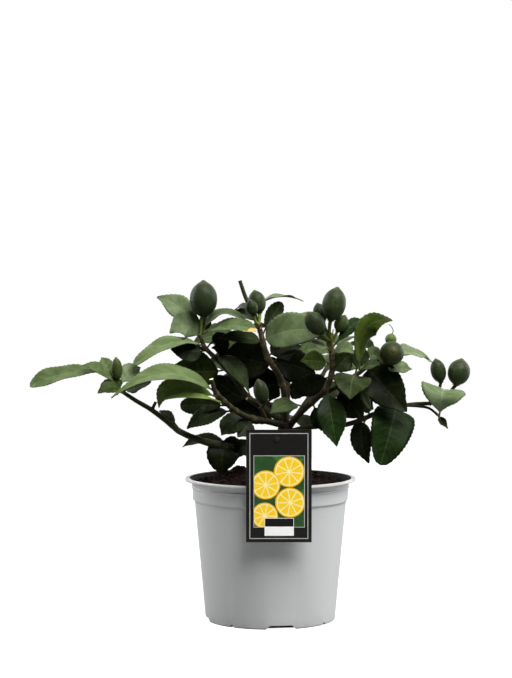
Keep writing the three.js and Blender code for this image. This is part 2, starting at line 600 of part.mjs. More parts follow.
function fruitTurn({ seat, nipple }) {
  const axis = vector(nipple).sub(vector(seat)).normalize();
  return new THREE.Quaternion().setFromUnitVectors(new THREE.Vector3(0, 1, 0), axis);
}

function placedFruit(fruit, clearance) {
  const skin = fruitSkin(fruit, clearance).applyQuaternion(fruitTurn(fruit));
  return toSolid(skin.translate(...fruit.seat));
}

function buildFruit(parent, fruit) {
  const mesh = addMesh(parent, fruit.name, toGeometry(toSolid(fruitSkin(fruit))), fruitMaterial);
  mesh.position.copy(vector(fruit.seat));
  mesh.quaternion.copy(fruitTurn(fruit));
}

// ---------------------------------------------------------------- assembly

const tree = new THREE.Group();
tree.name = "potted_lemon_tree";

const potGroup = new THREE.Group();
addMesh(potGroup, "pot", buildPot(), potPlastic);
addMesh(potGroup, "soil", buildSoil(), soilMaterial);
addMesh(potGroup, "card", buildCard(), cardMaterial);
addMesh(potGroup, "card_clip", buildClip(), clipPlastic);

const plantGroup = new THREE.Group();
addMesh(plantGroup, "trunk", toGeometry(stemSolid(trunkStem)), barkMaterial);
buildShoots(plantGroup);
fruits.forEach((fruit) => buildFruit(plantGroup, fruit));

tree.add(potGroup, plantGroup);

export default tree;
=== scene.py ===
import math
import random
from collections import namedtuple

import bpy
from mathutils import Matrix, Vector, noise


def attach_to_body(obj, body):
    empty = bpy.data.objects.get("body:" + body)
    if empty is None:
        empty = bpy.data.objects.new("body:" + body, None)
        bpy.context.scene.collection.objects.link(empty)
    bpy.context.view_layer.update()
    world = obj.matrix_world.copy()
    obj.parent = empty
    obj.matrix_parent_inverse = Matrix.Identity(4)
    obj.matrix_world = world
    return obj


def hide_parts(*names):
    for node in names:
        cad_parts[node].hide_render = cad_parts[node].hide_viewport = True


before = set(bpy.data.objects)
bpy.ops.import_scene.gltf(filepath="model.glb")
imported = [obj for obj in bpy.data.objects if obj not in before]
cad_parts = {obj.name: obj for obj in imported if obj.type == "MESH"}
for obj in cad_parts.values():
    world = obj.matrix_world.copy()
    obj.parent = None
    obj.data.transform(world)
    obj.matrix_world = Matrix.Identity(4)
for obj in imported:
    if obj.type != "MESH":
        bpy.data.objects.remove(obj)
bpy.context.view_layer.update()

# Sizes and places are in millimetres, which MM turns into metres. +X is right, +Y is back, +Z is up.
MM = 0.001
SEED = 11

# ---------------- sizes

GAP = 0.3
RIM_Z = 158.0
FLOOR_THICKNESS = 2.4
FOOT_RADIUS = 72.2
POT_SIDES = 192
NOTCH_TURN = 9
WIDE_NOTCH = {"width": 34.0, "top": 25.0, "height": 4.5}
SMALL_NOTCH = {"width": 6.0, "top": 1.5, "height": 3.5}
# The pot's profile [radius, height], from the middle of its foot over the lip to the middle of its floor.
POT_OUTSIDE = [
    (0, 0), (71, 0), (FOOT_RADIUS, 1.2), (84.3, 132), (86.3, 134), (86.9, 146.6), (87.9, 147.5),
    (87.9, 148.8), (87.1, 149.6), (87.6, 152.5), (91.5, 154.6), (95, 155.3), (95, 157.4), (94.3, RIM_Z),
]
POT_INSIDE = [
    (90.2, RIM_Z), (89.4, 157.3), (87.2, 154.5), (85.4, 150), (84.6, 134), (82.8, 131.4),
    (70.6, FLOOR_THICKNESS), (0, FLOOR_THICKNESS),
]

SOIL_EDGE_RADIUS = 84.6
SOIL_EDGE_Z = 151.0
SOIL_RISE = 9.0
# Heaps on the soil: [x, y, height, spread].
SOIL_HEAPS = [(-30, 6, 7, 15), (-76, -8, 2.5, 9), (62, -22, 3, 12), (-38, 8, 6, 9), (-73, -20, 4, 5),
              (66, -16, 3, 5), (45, -40, 2, 6)]
CHIP_COUNT = 900
CHIP_REACH = 83.0
CHIP_SHORTEST = 2.2
CHIP_LONGEST = 11.0

CARD = {"width": 70.0, "height": 120.5, "thickness": 0.8, "x": 8.4, "bottom": 99.0, "back": -96.8}
CARD_FRONT = CARD["back"] - CARD["thickness"]
CARD_HOLE = {"x": 6.3, "z": 208.8, "radius": 2.4}
CLIP = {"width": 12.0, "thickness": 1.2, "inner": -82.6, "foot": 140.0, "inside_foot": 147.0, "top": 213.0}

PETIOLE_THICKNESS = 1.8
BLADE_THICKNESS = 0.6
LEAF_FOLD = 0.2
TOOTH_SPACING = 4.6
TOOTH_DEPTH = 1.1
LATERAL_VEINS = 9.0
VEIN_ARCH = 1.9
VEIN_BEND = 1.35
KNOT_SPREAD = 2.4

# ---------------- the plant's layout

# How light a leaf is, from 0 to 1, and how far its green turns to yellow or, below 0, to a deeper green. The
# levels are partly each leaf's own tone and partly painted light and painted shade for where the leaf sits.
TONES = {
    "dark": (0.04, 0.1),
    "rich": (0.21, -0.8),
    "deep": (0.21, 0.0),
    "olive": (0.26, 0.7),
    "shade": (0.35, 0.3),
    "fern": (0.42, 0.6),
    "mid": (0.48, 0.0),
    "soft": (0.6, 0.15),
    # Painted light: light shining through a leaf from behind.
    "moss": (0.8, 0.65),
    "pale": (0.74, 0.0),
    "light": (0.73, 0.25),
    # The next two are painted light shining through a leaf from behind.
    "edge": (0.9, 0.85),
    "glow": (0.45, 0.9),
    # Painted light on a leaf whose blade faces away from the lamps.
    "silver": (0.76, 0.0),
}
# A painted highlight on the bend of the blade: how much lighter leaves of these tones are at the foot than at
# the tip.
BEND_HIGHLIGHT = {"glow": 0.4}

# How a blade's width runs from its base to its tip: the first number moves the widest place, the second
# rounds the ends, and the third is the length of the leaf's own stalk.
OVAL = (0.85, 0.8, 9)
LANCE = (0.85, 1.1, 9)
TAPER = (0.7, 1, 9)
BLUNT = (1.1, 0.5, 9)
CUT = (1.4, 0.45, 9)
FAR = (1.3, 0.8, 9)
CREST = (0.85, 0.55, 9)
WIDE = (0.75, 0.65, 5)
BROAD = (0.62, 0.55, 3)
ROUND = (0.58, 0.45, 3)

# A stem runs through its points, with a radius at its base and its tip. green is how green its bark is.
Stem = namedtuple("Stem", "points base tip green", defaults=[0.3])
# A leaf runs from its root over its middle to its tip. face is the way that its upper side looks.
Leaf = namedtuple("Leaf", "root middle tip width face tone shape scorch", defaults=["mid", OVAL, 0.0])
# A cluster of bud scales.
Scales = namedtuple("Scales", "centre axis count length")
# A fruit reaches from its seat on the stalk to its nipple. shade and yellow are as in TONES, and like them
# partly painted light and shade.
Fruit = namedtuple("Fruit", "seat nipple width shade yellow", defaults=[0.35, 0.0])

TRUNK = Stem([(1, 10, 112), (3, 10, 150), (7, 9, 180), (13, 7, 204), (18, 6, 219)], 7, 6)
TRUNK_KNOTS = [(4, 10, 170), (13, 8, 200), (18, 6, 216)]

SHOOTS = {}
SHOOTS["low_left"] = [
    Stem([(3, 9, 173), (-9, 4, 180), (-26, -12, 188), (-50, -28, 195), (-77, -40, 203),
          (-99, -45, 213), (-115, -48, 226), (-131, -50, 238), (-148, -50, 248),
          (-167, -50, 261)], 5.4, 2, 0.7),
    Stem([(-123, -49, 231), (-128, -51, 238), (-125, -51, 246)], 2.2, 1.6, 0.5),
    Stem([(-166, -50, 261), (-166, -52, 270)], 1.3, 1.9, 0.9),
    Stem([(-165, -50, 260), (-170, -49, 269), (-176, -50, 280)], 1.4, 1.1, 0.9),
    Leaf((-175, -50, 279), (-222, -56, 277), (-261, -60, 263), 31, (0, -0.5, 0.87), "soft", CUT),
    Leaf((-166, -50, 261), (-184, -58, 281), (-204, -62, 286), 16, (0.1, -0.7, 0.7), "light"),
    Leaf((-166, -50, 261), (-178, -36, 281), (-186, -24, 293), 18, (-0.3, -0.6, 0.7), "light"),
    Leaf((-163, -50, 258), (-172, -58, 263), (-187, -66, 256), 24, (-0.2, -0.8, 0.5), "fern", BROAD),
    Leaf((-165, -50, 260), (-155, -38, 276), (-143, -26, 282), 24, (0.2, -0.8, 0.5), "pale"),
    Leaf((-162, -50, 258), (-146, -60, 262), (-129, -68, 269), 24, (0, -0.6, 0.8), "deep"),
    Leaf((-100, -46, 216), (-112, -42, 229), (-122, -40, 235), 15, (0, -0.6, 0.8), "dark"),
    Leaf((-42, -25, 194), (-72, -12, 202), (-98, -5, 192), 17, (0, -0.7, 0.7), "dark"),
    Leaf((-49, -28, 196), (-53, -36, 184), (-52, -32, 165), 37, (0, -1, 0.1), "dark", BROAD),
    Leaf((-20, -8, 186), (-30, -22, 194), (-39, -26, 179), 20, (0.2, -0.9, 0.2), "dark"),
    Leaf((-25, -12, 188), (-39, -22, 197), (-54, -30, 200), 18, (-0.3, -0.8, 0.5), "dark"),
]
SHOOTS["mid_left"] = [
    Stem([(15, 4, 216), (-5, -14, 222), (-23, -30, 227), (-38, -48, 236), (-51, -62, 248),
          (-60, -70, 259), (-64, -74, 272)], 3.8, 2.3, 0.5),
    Stem([(-4, -13, 222), (-9, -18, 232), (-14, -24, 240), (-26, -30, 248)], 2.4, 1.6, 0.2),
    Stem([(-13, -23, 238), (-9, -29, 239), (-7, -32, 242)], 1.2, 2, 0.8),
    Leaf((-58, -69, 256), (-113, -84, 278), (-170, -96, 253), 38, (0, -0.42, 0.9), "light", TAPER),
    Leaf((-51, -62, 248), (-102, -66, 263), (-121, -64, 240), 25, (0, -0.93, 0.35), "moss"),
    Leaf((-38, -48, 236), (-68, -54, 231), (-91, -58, 217), 25, (-0.1, -0.75, 0.65), "deep"),
    Leaf((-44, -55, 242), (-75, -46, 242), (-99, -36, 241), 24, (0, -0.9, 0.4), "dark", BLUNT),
    Leaf((-20, -28, 226), (-40, -36, 221), (-54, -40, 208), 30, (-0.2, -0.8, 0.5), "dark"),
    Leaf((-19, -26, 225), (-27, -38, 217), (-36, -48, 207), 24, (0, -0.9, 0.3), "dark"),
    # The lower edge of the first leaf, which is rolled up; its bright tone is painted light shining through
    # it from behind.
    Leaf((-54, -74, 247), (-88, -80, 255), (-122, -75, 247), 7, (0, -0.9, 0.45), "edge", TAPER),
]
SHOOTS["upper_left"] = [
    Stem([(16, 12, 219), (-5, 14, 232), (-25, 12, 247), (-42, 6, 270), (-54, 2, 284), (-66, -2, 296),
          (-74, -5, 305), (-78, -8, 318)], 4, 2),
    Stem([(-70, -4, 300), (-77, -3, 302), (-84, -3, 309)], 1.8, 1.5, 0.1),
    Stem([(-78, -8, 317), (-77, -9, 326), (-76, -10, 337)], 1.4, 2.2, 1.0),
    Leaf((-77, -7, 314), (-101, 8, 346), (-127, 18, 358), 30, (-0.1, -0.75, 0.6), "pale"),
    Leaf((-75, -5, 306), (-92, -10, 327), (-111, -12, 319), 36, (-0.2, -0.8, 0.5), "pale"),
    Leaf((-74, -5, 304), (-109, -28, 309), (-149, -44, 285), 28, (0, -0.45, 0.9), "light", BLUNT),
    Leaf((-70, -4, 300), (-89, -14, 299), (-110, -22, 302), 32, (0, -0.85, 0.5), "dark"),
    Leaf((-49, 4, 278), (-81, 16, 275), (-110, 24, 281), 48, (0, -0.95, 0.2), "olive"),
    Leaf((-24, 12, 245), (-43, 24, 251), (-67, 34, 272), 40, (0.3, -0.95, 0.2), "dark"),
    Leaf((-70, -4, 303), (-58, 0, 310), (-53, -2, 288), 24, (0.2, -0.95, 0), "dark"),
    Leaf((-77, -8, 317), (-46, -24, 328), (-16, -36, 322), 27, (0.1, -0.6, 0.8), "soft", BLUNT, 1.0),
    Leaf((-77, -8, 317), (-54, -8, 341), (-21, -8, 328), 28, (0, -0.3, 0.95)),
    Leaf((-78, -8, 318), (-73, 4, 329), (-75, 10, 341), 15, (0.3, -0.9, 0.3), "deep"),
    Leaf((-65, -2, 295), (-42, -14, 282), (-22, -22, 250), 32, (0.45, -0.6, 0.6), "deep", LANCE),
]
SHOOTS["centre"] = [
    Stem([(17, 8, 217), (16, 2, 236), (15, -2, 254), (9, -6, 273), (-3, -9, 292), (-9, -9, 312),
          (-13, -8, 328), (-19, 1, 342), (-27, 7, 357), (-34, 10, 377)], 4, 2.1),
    Stem([(-13, -8, 327), (-12, -8, 334), (-12, -8, 341)], 1.3, 2.2, 1.3),
    Stem([(-13, -8, 329), (-17, -17, 333), (-18, -23, 339)], 1.2, 1.8, 1.3),
    Scales((-11, -9, 318), (-0.2, 0, 1), 12, 2.6),
    Leaf((-13, -8, 329), (-28, 12, 339), (-44, 26, 341), 22, (0, -0.6, 0.8), "pale"),
    Leaf((-18, 0, 340), (-31, 18, 348), (-41, 34, 341), 16, (0, -0.6, 0.8), "deep"),
    Leaf((-20, 3, 345), (7, 6, 359), (37, 14, 354), 26, (0, -0.1, 1), "pale", LANCE),
    Leaf((-9, -9, 316), (1, -2, 336), (13, 4, 353), 20, (0.4, -0.8, 0.4), "deep", BLUNT),
    Leaf((-9, -9, 310), (25, -24, 323), (62, -20, 320), 42, (-0.05, -0.95, 0.3), "pale", WIDE),
    Leaf((3, -7, 283), (-25, 8, 289), (-54, 18, 295), 48, (0, -0.97, 0.2), "dark", WIDE),
    Leaf((-8, -9, 308), (-31, -14, 315), (-57, -12, 314), 20, (0, -0.8, 0.6), "olive", WIDE),
    Leaf((-3, -9, 293), (11, 6, 300), (35, 14, 304), 32, (0, -0.97, 0.2), "dark"),
    Leaf((-1, -8, 288), (23, 10, 283), (51, 20, 273), 40, (0, -1, 0.15), "dark"),
    Leaf((13, -3, 262), (5, 6, 255), (-1, 10, 242), 18, (0, -1, 0.1), "dark"),
]
SHOOTS["right_centre"] = [
    Stem([(20, 6, 214), (36, -12, 234), (50, -20, 247), (62, -28, 260), (67, -32, 276),
          (67, -35, 296), (65, -36, 315)], 4, 2.6, 0.15),
    Stem([(65, -36, 313), (64, -40, 324), (65, -44, 334)], 1.6, 2.2, 0.9),
    Stem([(65, -36, 312), (60, -44, 315), (56, -52, 320)], 1.4, 2, 0.9),
    Stem([(65, -36, 314), (61, -31, 323), (58, -28, 332)], 1.3, 1.7, 0.9),
    Stem([(65, -36, 312), (70, -35, 316), (73, -34, 322)], 1.3, 1.7, 0.9),
    Scales((67, -35, 296), (-0.08, 0, 1), 56, 4.6),
    Leaf((65, -35, 302), (54, -42, 307), (43, -48, 312), 14, (0, -0.7, 0.7), "pale"),
    Leaf((67, -34, 286), (50, -48, 290), (32, -60, 291), 24, (0, -0.9, 0.3), "olive"),
    Leaf((67, -32, 275), (77, -26, 286), (89, -20, 300), 26, (0.1, -0.95, 0.2), "olive"),
    Leaf((66, -34, 294), (78, -46, 304), (90, -54, 298), 20, (0, -0.8, 0.6), "pale"),
    Leaf((66, -35, 302), (87, -28, 326), (100, -20, 335), 16, (0, -0.9, 0.4), "rich"),
    Leaf((66, -31, 273), (47, -16, 263), (22, -6, 252), 26, (0, -0.97, 0.2), "dark"),
    Leaf((62, -28, 259), (66, -44, 231), (72, -50, 197), 34, (0, -1, 0.15), "rich"),
    Leaf((46, -18, 243), (52, -26, 228), (56, -28, 212), 20, (-0.3, -0.9, 0), "dark"),
    Leaf((35, -12, 238), (18, -30, 241), (-1, -42, 232), 26, (0, -0.6, 0.8)),
]
SHOOTS["right_upper"] = [
    Stem([(50, -21, 249), (72, -16, 259), (93, -12, 272), (111, -10, 283), (127, -6, 287),
          (141, 0, 291)], 2.8, 1.6, 0.4),
    Stem([(129, -6, 287), (131, -12, 290), (132, -16, 294)], 1.3, 2, 0.8),
    Stem([(133, -4, 288), (133, -1, 297), (132, -6, 306)], 1.1, 1.5, 0.9),
    Scales((126, -6, 286), (1, 0, 0.2), 8, 2.4),
    Leaf((99, -12, 276), (103, -36, 323), (133, -42, 334), 27, (0.5, -0.75, 0.4), "glow", CREST),
    Leaf((94, -12, 274), (99, -4, 291), (105, 2, 304), 22, (0, -0.95, 0.3), "deep"),
    Leaf((141, 0, 291), (159, 16, 296), (184, 32, 284), 37, (0.1, -0.35, 0.94), "pale"),
    Leaf((112, -10, 283), (115, 2, 294), (127, 10, 286), 22, (0.2, -0.9, 0.3)),
    Leaf((129, -5, 288), (140, -16, 281), (156, -22, 280), 26, (0.1, -0.6, 0.8), "pale"),
    Leaf((107, -10, 282), (124, -18, 262), (150, -26, 233), 47, (-0.1, -0.95, 0.4), "dark", WIDE),
    Leaf((94, -12, 273), (89, -38, 268), (86, -58, 249), 44, (0, -0.7, 0.7), "shade"),
    Leaf((97, -12, 274), (105, -26, 283), (120, -36, 285), 26, (0, -0.6, 0.8), "shade"),
    Leaf((72, -16, 260), (86, -20, 245), (102, -24, 225), 40, (0, -1, 0.1), "dark"),
    Leaf((94, -12, 272), (102, -30, 252), (110, -38, 235), 10, (0, -1, 0.2), "deep"),
]
SHOOTS["right_low"] = [
    Stem([(20, 7, 208), (46, 6, 214), (83, -2, 217), (99, -5, 222), (116, -2, 229), (139, 3, 236),
          (158, 6, 239), (179, 9, 240)], 3.3, 2.2),
    Stem([(153, 5, 238), (166, 4, 237), (177, 1, 235), (186, -5, 228)], 1.7, 1.3, 0.4),
    Stem([(178, 9, 238), (187, 12, 248), (191, 14, 263)], 1.6, 1.8, 0.5),
    Stem([(186, 12, 247), (199, 15, 251), (208, 16, 260)], 1.4, 2.1, 0.6),
    Leaf((140, 2, 236), (132, -16, 209), (121, -24, 174), 50, (0.1, -1, 0.15), "rich", ROUND),
    Leaf((106, -5, 223), (101, -6, 202), (110, -4, 174), 26, (-0.3, -0.95, 0), "dark", WIDE),
    Leaf((112, -2, 227), (108, -8, 236), (114, -12, 246), 14, (0, -1, 0.1)),
    Leaf((187, -5, 222), (189, -24, 251), (194, 14, 255), 52, (0, -0.85, 0.5), "silver", FAR),
    Leaf((186, -4, 228), (190, -6, 222), (197, -8, 213), 11, (0.5, -0.8, 0.2), "olive"),
]
SHOOTS["rear_left"] = [
    Stem([(15, 12, 214), (-8, 36, 246), (-24, 60, 278), (-36, 78, 304)], 3.6, 1.8),
    Leaf((-10, 39, 250), (-34, 62, 262), (-60, 76, 254), 36, (-0.1, 0.5, 0.85)),
    Leaf((-12, 42, 254), (8, 72, 264), (20, 98, 254), 34, (0.2, 0.6, 0.8)),
    Leaf((-20, 54, 270), (-46, 66, 284), (-74, 72, 278), 40, (-0.3, -0.6, 0.75)),
    Leaf((-26, 62, 280), (-22, 92, 292), (-24, 122, 278), 38, (0, 0.5, 0.85), "deep"),
    Leaf((-32, 70, 292), (-58, 62, 312), (-88, 58, 304), 38, (-0.2, -0.7, 0.7)),
    Leaf((-35, 76, 301), (-44, 104, 316), (-60, 128, 306), 40, (-0.2, 0.4, 0.9), "pale"),
]
SHOOTS["rear_right"] = [
    Stem([(22, 12, 214), (44, 38, 244), (62, 62, 272), (76, 84, 296)], 3.6, 1.8),
    Leaf((40, 33, 238), (66, 48, 252), (92, 56, 242), 34, (0.2, -0.6, 0.75), "deep"),
    Leaf((50, 46, 253), (42, 76, 266), (30, 104, 256), 36, (-0.2, 0.5, 0.85)),
    Leaf((60, 60, 270), (88, 70, 283), (118, 78, 272), 40, (0.3, -0.5, 0.8)),
    Leaf((64, 66, 276), (64, 96, 290), (72, 126, 278), 38, (0, 0.5, 0.85)),
    Leaf((72, 78, 290), (98, 98, 302), (126, 112, 292), 38, (0.3, 0.4, 0.85), "soft"),
    Leaf((76, 84, 296), (84, 110, 310), (84, 140, 304), 40, (0.1, 0.4, 0.9)),
    Leaf((74, 80, 292), (56, 84, 314), (34, 88, 316), 32, (-0.3, 0.4, 0.85), "deep"),
]
SHOOTS["rear_centre"] = [
    Stem([(18, 12, 219), (20, 34, 254), (22, 52, 290), (22, 66, 318)], 3.4, 1.8),
    Leaf((21, 40, 268), (0, 30, 284), (-26, 26, 282), 34, (-0.3, 0.1, 0.9), "deep"),
    Leaf((22, 50, 286), (48, 46, 299), (72, 42, 292), 34, (0.2, -0.6, 0.8)),
    Leaf((22, 60, 304), (2, 76, 322), (-20, 98, 318), 36, (-0.2, 0.4, 0.9)),
    Leaf((22, 66, 318), (26, 90, 336), (32, 116, 330), 36, (0.1, 0.4, 0.9), "light"),
    Leaf((22, 64, 314), (42, 58, 332), (62, 44, 328), 30, (0.2, 0, 0.95)),
    Leaf((20, 33, 250), (-7, 30, 267), (-25, 32, 254), 26, (0, -0.95, 0.3), "dark"),
    Leaf((20, 34, 254), (27, 33, 254), (43, 36, 247), 24, (0, -0.95, 0.3), "dark"),
]
SHOOTS["rear_low"] = [
    Stem([(14, 8, 199), (18, 44, 216), (20, 84, 228)], 3, 1.8),
    Leaf((18, 44, 216), (-8, 58, 222), (-30, 66, 206), 34, (-0.2, 0.5, 0.85), "deep"),
    Leaf((18, 50, 218), (36, 74, 218), (42, 96, 198), 34, (0.3, 0.5, 0.8)),
    Leaf((19, 66, 223), (-6, 92, 232), (-26, 112, 220), 36, (-0.2, 0.6, 0.8)),
    Leaf((20, 84, 228), (14, 112, 228), (8, 136, 206), 38, (0, 0.6, 0.8), "deep"),
    Leaf((17, 34, 212), (-27, 36, 229), (-48, 40, 237), 28, (0, -0.95, 0.3), "dark"),
]

FRUITS = {
    "low_left": Fruit((-166, -52, 270), (-168, -54, 295), 12, 0.4, 0.25),
    "upper_left": Fruit((-74, -10, 337), (-74, -12, 378), 31),
    "centre_small": Fruit((-18, -23, 339), (-23, -25, 357), 13, 0.3),
    "centre_large": Fruit((-12, -8, 341), (-18, -6, 367), 19, 0.45),
    "right_top": Fruit((65, -44, 334), (73, -46, 371), 26, 0.5),
    "right_front": Fruit((56, -52, 320), (40, -58, 344), 20.5),
    "right_rear": Fruit((58, -28, 332), (51, -24, 353), 15),
    "right_side": Fruit((73, -34, 322), (82, -32, 340), 15, 0.35, 0.15),
    "front": Fruit((-7, -32, 242), (-14, -36, 270), 16.5, 0.08, 0.05),
    "young": Fruit((132, -6, 306), (135, -8, 319), 13, 0.6, 0.55),
    "end_on": Fruit((132, -16, 294), (134, -44, 302), 26.5, 0.1, 0.08),
    "far_right_small": Fruit((191, 14, 263), (185, 16, 290), 17),
    "far_right_large": Fruit((208, 16, 260), (215, 18, 290), 25.5, 0.5),
}
# The dry style that still stands on the youngest fruit.
STYLE_PATH = [(135, -8, 318.6), (136, -8, 322), (134, -9, 326), (131, -10, 329)]

# ---------------- shaders


class Nodes:
    """Short calls for the nodes of a material or of the world."""

    def __init__(self, tree):
        self.tree = tree

    def put(self, socket, value):
        if isinstance(value, bpy.types.NodeSocket):
            self.tree.links.new(value, socket)
        elif isinstance(value, tuple) and len(value) == 3 and socket.type == "RGBA":
            socket.default_value = (*value, 1)
        else:
            socket.default_value = value

    def node(self, kind, **values):
        made = self.tree.nodes.new("ShaderNode" + kind)
        for name, value in values.items():
            self.put(made.inputs[name.replace("_", " ")], value)
        return made

    def math(self, operation, first, second=0.0, third=0.0, clamp=False):
        made = self.node("Math")
        made.operation = operation
        made.use_clamp = clamp
        for socket, value in zip(made.inputs, (first, second, third)):
            self.put(socket, value)
        return made.outputs[0]


class Shader(Nodes):
    """A material, with calls for the patterns that the materials share."""

    def __init__(self, name):
        self.material = bpy.data.materials.new(name)
        self.material.use_nodes = True
        super().__init__(self.material.node_tree)
        self.surface = self.tree.nodes["Principled BSDF"]
        self.place = self.node("TexCoord").outputs["Object"]

    def mix(self, factor, first, second, blend="MIX"):
        made = self.node("Mix")
        made.data_type = "RGBA"
        made.blend_type = blend
        for socket, value in zip((made.inputs[0], made.inputs[6], made.inputs[7]), (factor, first, second)):
            self.put(socket, value)
        return made.outputs[2]

    def tinge(self, colour, other, mask, amount, blend="MIX"):
        """Turns a colour towards another where the mask is on."""
        return self.mix(self.math("MULTIPLY", mask, amount, clamp=True), colour, other, blend)

    def ramp(self, factor, stops, smooth=False):
        made = self.node("ValToRGB")
        made.color_ramp.interpolation = "EASE" if smooth else "LINEAR"
        elements = made.color_ramp.elements
        while len(elements) < len(stops):
            elements.new(0.5)
        for element, (position, colour) in zip(elements, stops):
            element.position = position
            element.color = (*colour, 1) if isinstance(colour, tuple) else (colour, colour, colour, 1)
        self.put(made.inputs[0], factor)
        return made.outputs[0]

    def noise(self, scale, detail=3.0, roughness=0.55, place=None):
        made = self.node("TexNoise", Scale=scale, Detail=detail, Roughness=roughness,
                         Vector=place or self.place)
        return made.outputs[0]

    def sway(self, value, width):
        """A value from 0 to 1 as a shift to both sides of zero."""
        return self.math("MULTIPLY_ADD", value, width, -width / 2)

    def tint(self):
        """The three masks that every point of a Body carries."""
        made = self.node("Attribute")
        made.attribute_name = "tint"
        return list(self.node("SeparateColor", Color=made.outputs["Color"]).outputs)

    def geometry(self, name):
        return self.node("NewGeometry").outputs[name]

    def finish(self, colour, roughness, specular, *bumps):
        """The bumps are (height, strength, distance in metres)."""
        settings = {"Base Color": colour, "Roughness": roughness, "Specular IOR Level": specular}
        for height, strength, distance in bumps:
            made = self.node("Bump", Height=height, Strength=strength, Distance=distance)
            if "Normal" in settings:
                self.put(made.inputs["Normal"], settings["Normal"])
            settings["Normal"] = made.outputs[0]
        for name, value in settings.items():
            self.put(self.surface.inputs[name], value)
        return self.material


def pot_plastic():
    shader = Shader("pot_plastic")
    colour = shader.mix(shader.noise(14, 4), (0.5, 0.51, 0.515), (0.55, 0.555, 0.555))
    flecks = shader.ramp(shader.noise(420, 2), [(0.68, 0.0), (0.76, 1.0)])
    colour = shader.tinge(colour, (0.65, 0.65, 0.65), flecks, 0.25)
    height = shader.node("SeparateXYZ", Vector=shader.place).outputs["Z"]
    low = shader.math("SUBTRACT", 1.0, shader.math("DIVIDE", height, 0.03), clamp=True)
    high = shader.math("DIVIDE", shader.math("SUBTRACT", height, 0.146), 0.014, clamp=True)
    smudge = shader.math("MULTIPLY", shader.math("MAXIMUM", low, high), shader.noise(60, 5))
    smudge = shader.ramp(smudge, [(0.3, 0.0), (0.75, 1.0)])
    colour = shader.tinge(colour, (0.22, 0.19, 0.17), smudge, 0.3)
    # Painted shade: faces that look upwards, such as the top of the lip, are painted darker.
    upward = shader.node("SeparateXYZ", Vector=shader.geometry("Normal")).outputs["Z"]
    top_shade = shader.ramp(upward, [(0.15, 0.0), (0.7, 1.0)])
    colour = shader.tinge(colour, (0.2, 0.185, 0.17), top_shade, 0.5)
    roughness = shader.ramp(shader.noise(35, 5), [(0.3, 0.42), (0.7, 0.6)])
    return shader.finish(colour, roughness, 0.5,
                         (shader.noise(1600, 2), 0.12, 0.0002), (shader.noise(90, 2), 0.1, 0.0008))


# Very dark colours: partly the soil's own colour, partly painted shade where the rim and the leaves shade the
# soil.
def soil_shader(name, dark, red, light):
    shader = Shader(name)
    mottled = shader.mix(shader.ramp(shader.noise(160, 5), [(0.35, 0.0), (0.7, 1.0)]), dark, red)
    pick = shader.ramp(shader.geometry("Random Per Island"), [(0.0, 0.0), (0.55, 0.25), (1.0, 1.0)])
    colour = shader.tinge(mottled, light, pick, shader.noise(520, 3))
    return shader.finish(colour, 0.95, 0.04,
                         (shader.noise(700, 4), 0.9, 0.0012), (shader.noise(2400, 2), 0.5, 0.0004))


def bark_shader():
    shader = Shader("bark")
    green, glow, knot = shader.tint()
    along_grain = shader.node("Mapping", Vector=shader.place, Scale=(900, 900, 160)).outputs[0]
    grain = shader.noise(1, 4, place=along_grain)
    brown = shader.mix(grain, (0.008, 0.0055, 0.003), (0.042, 0.028, 0.015))
    olive = shader.mix(grain, (0.006, 0.008, 0.002), (0.03, 0.037, 0.011))
    patch = shader.math("ADD", green, shader.sway(shader.noise(120, 3), 0.7), clamp=True)
    colour = shader.mix(patch, brown, olive)
    colour = shader.mix(glow, colour, (0.22, 0.31, 0.04))
    tan = shader.math("MULTIPLY", knot, shader.ramp(shader.noise(350, 2), [(0.4, 0.15), (0.6, 1.0)]))
    colour = shader.tinge(colour, (0.32, 0.21, 0.11), tan, 0.5)
    scars = shader.ramp(shader.noise(520, 2), [(0.63, 0.0), (0.7, 1.0)])
    colour = shader.tinge(colour, (0.2, 0.14, 0.08), scars, 0.3)
    roughness = shader.ramp(patch, [(0.0, 0.75), (1.0, 0.5)])
    return shader.finish(colour, roughness, 0.12, (grain, 0.6, 0.0005), (shader.noise(300, 3), 0.6, 0.0008))


def cut_wood_shader():
    shader = Shader("cut_wood")
    rings = shader.noise(1800, 4)
    old = shader.mix(rings, (0.12, 0.09, 0.05), (0.3, 0.24, 0.15))
    fresh = shader.mix(rings, (0.55, 0.5, 0.38), (0.85, 0.8, 0.68))
    green = shader.tint()[0]
    colour = shader.mix(shader.ramp(green, [(0.84, 0.0), (0.9, 1.0)]), old, fresh)
    return shader.finish(colour, 0.8, 0.5, (rings, 0.5, 0.0002))


def leaf_veins(shader):
    """Masks from the blade's own coordinates: the midrib, the side veins that arch to the tip, the margin."""
    uv = shader.node("UVMap")
    uv.uv_map = "blade"
    sideways, along, _ = shader.node("SeparateXYZ", Vector=uv.outputs[0]).outputs
    across = shader.math("MULTIPLY", shader.math("ABSOLUTE", shader.math("SUBTRACT", sideways, 0.5)), 2.0)
    midrib = shader.ramp(across, [(0.0, 1.0), (0.02, 0.8), (0.05, 0.0)], smooth=True)
    bend = shader.math("MULTIPLY", shader.math("POWER", across, VEIN_BEND), -VEIN_ARCH)
    phase = shader.math("MULTIPLY_ADD", along, LATERAL_VEINS, bend)
    phase = shader.math("ADD", phase, shader.sway(shader.noise(70, 2), 0.5))
    off_vein = shader.math("ABSOLUTE", shader.math("SUBTRACT", shader.math("FRACT", phase), 0.5))
    side = shader.ramp(off_vein, [(0.0, 1.0), (0.06, 0.4), (0.17, 0.0)], smooth=True)
    side = shader.math("MULTIPLY", side, shader.ramp(across, [(0.7, 1.0), (0.97, 0.15)]))
    margin = shader.ramp(across, [(0.93, 0.0), (0.99, 1.0)])
    return midrib, side, margin, phase, sideways, along


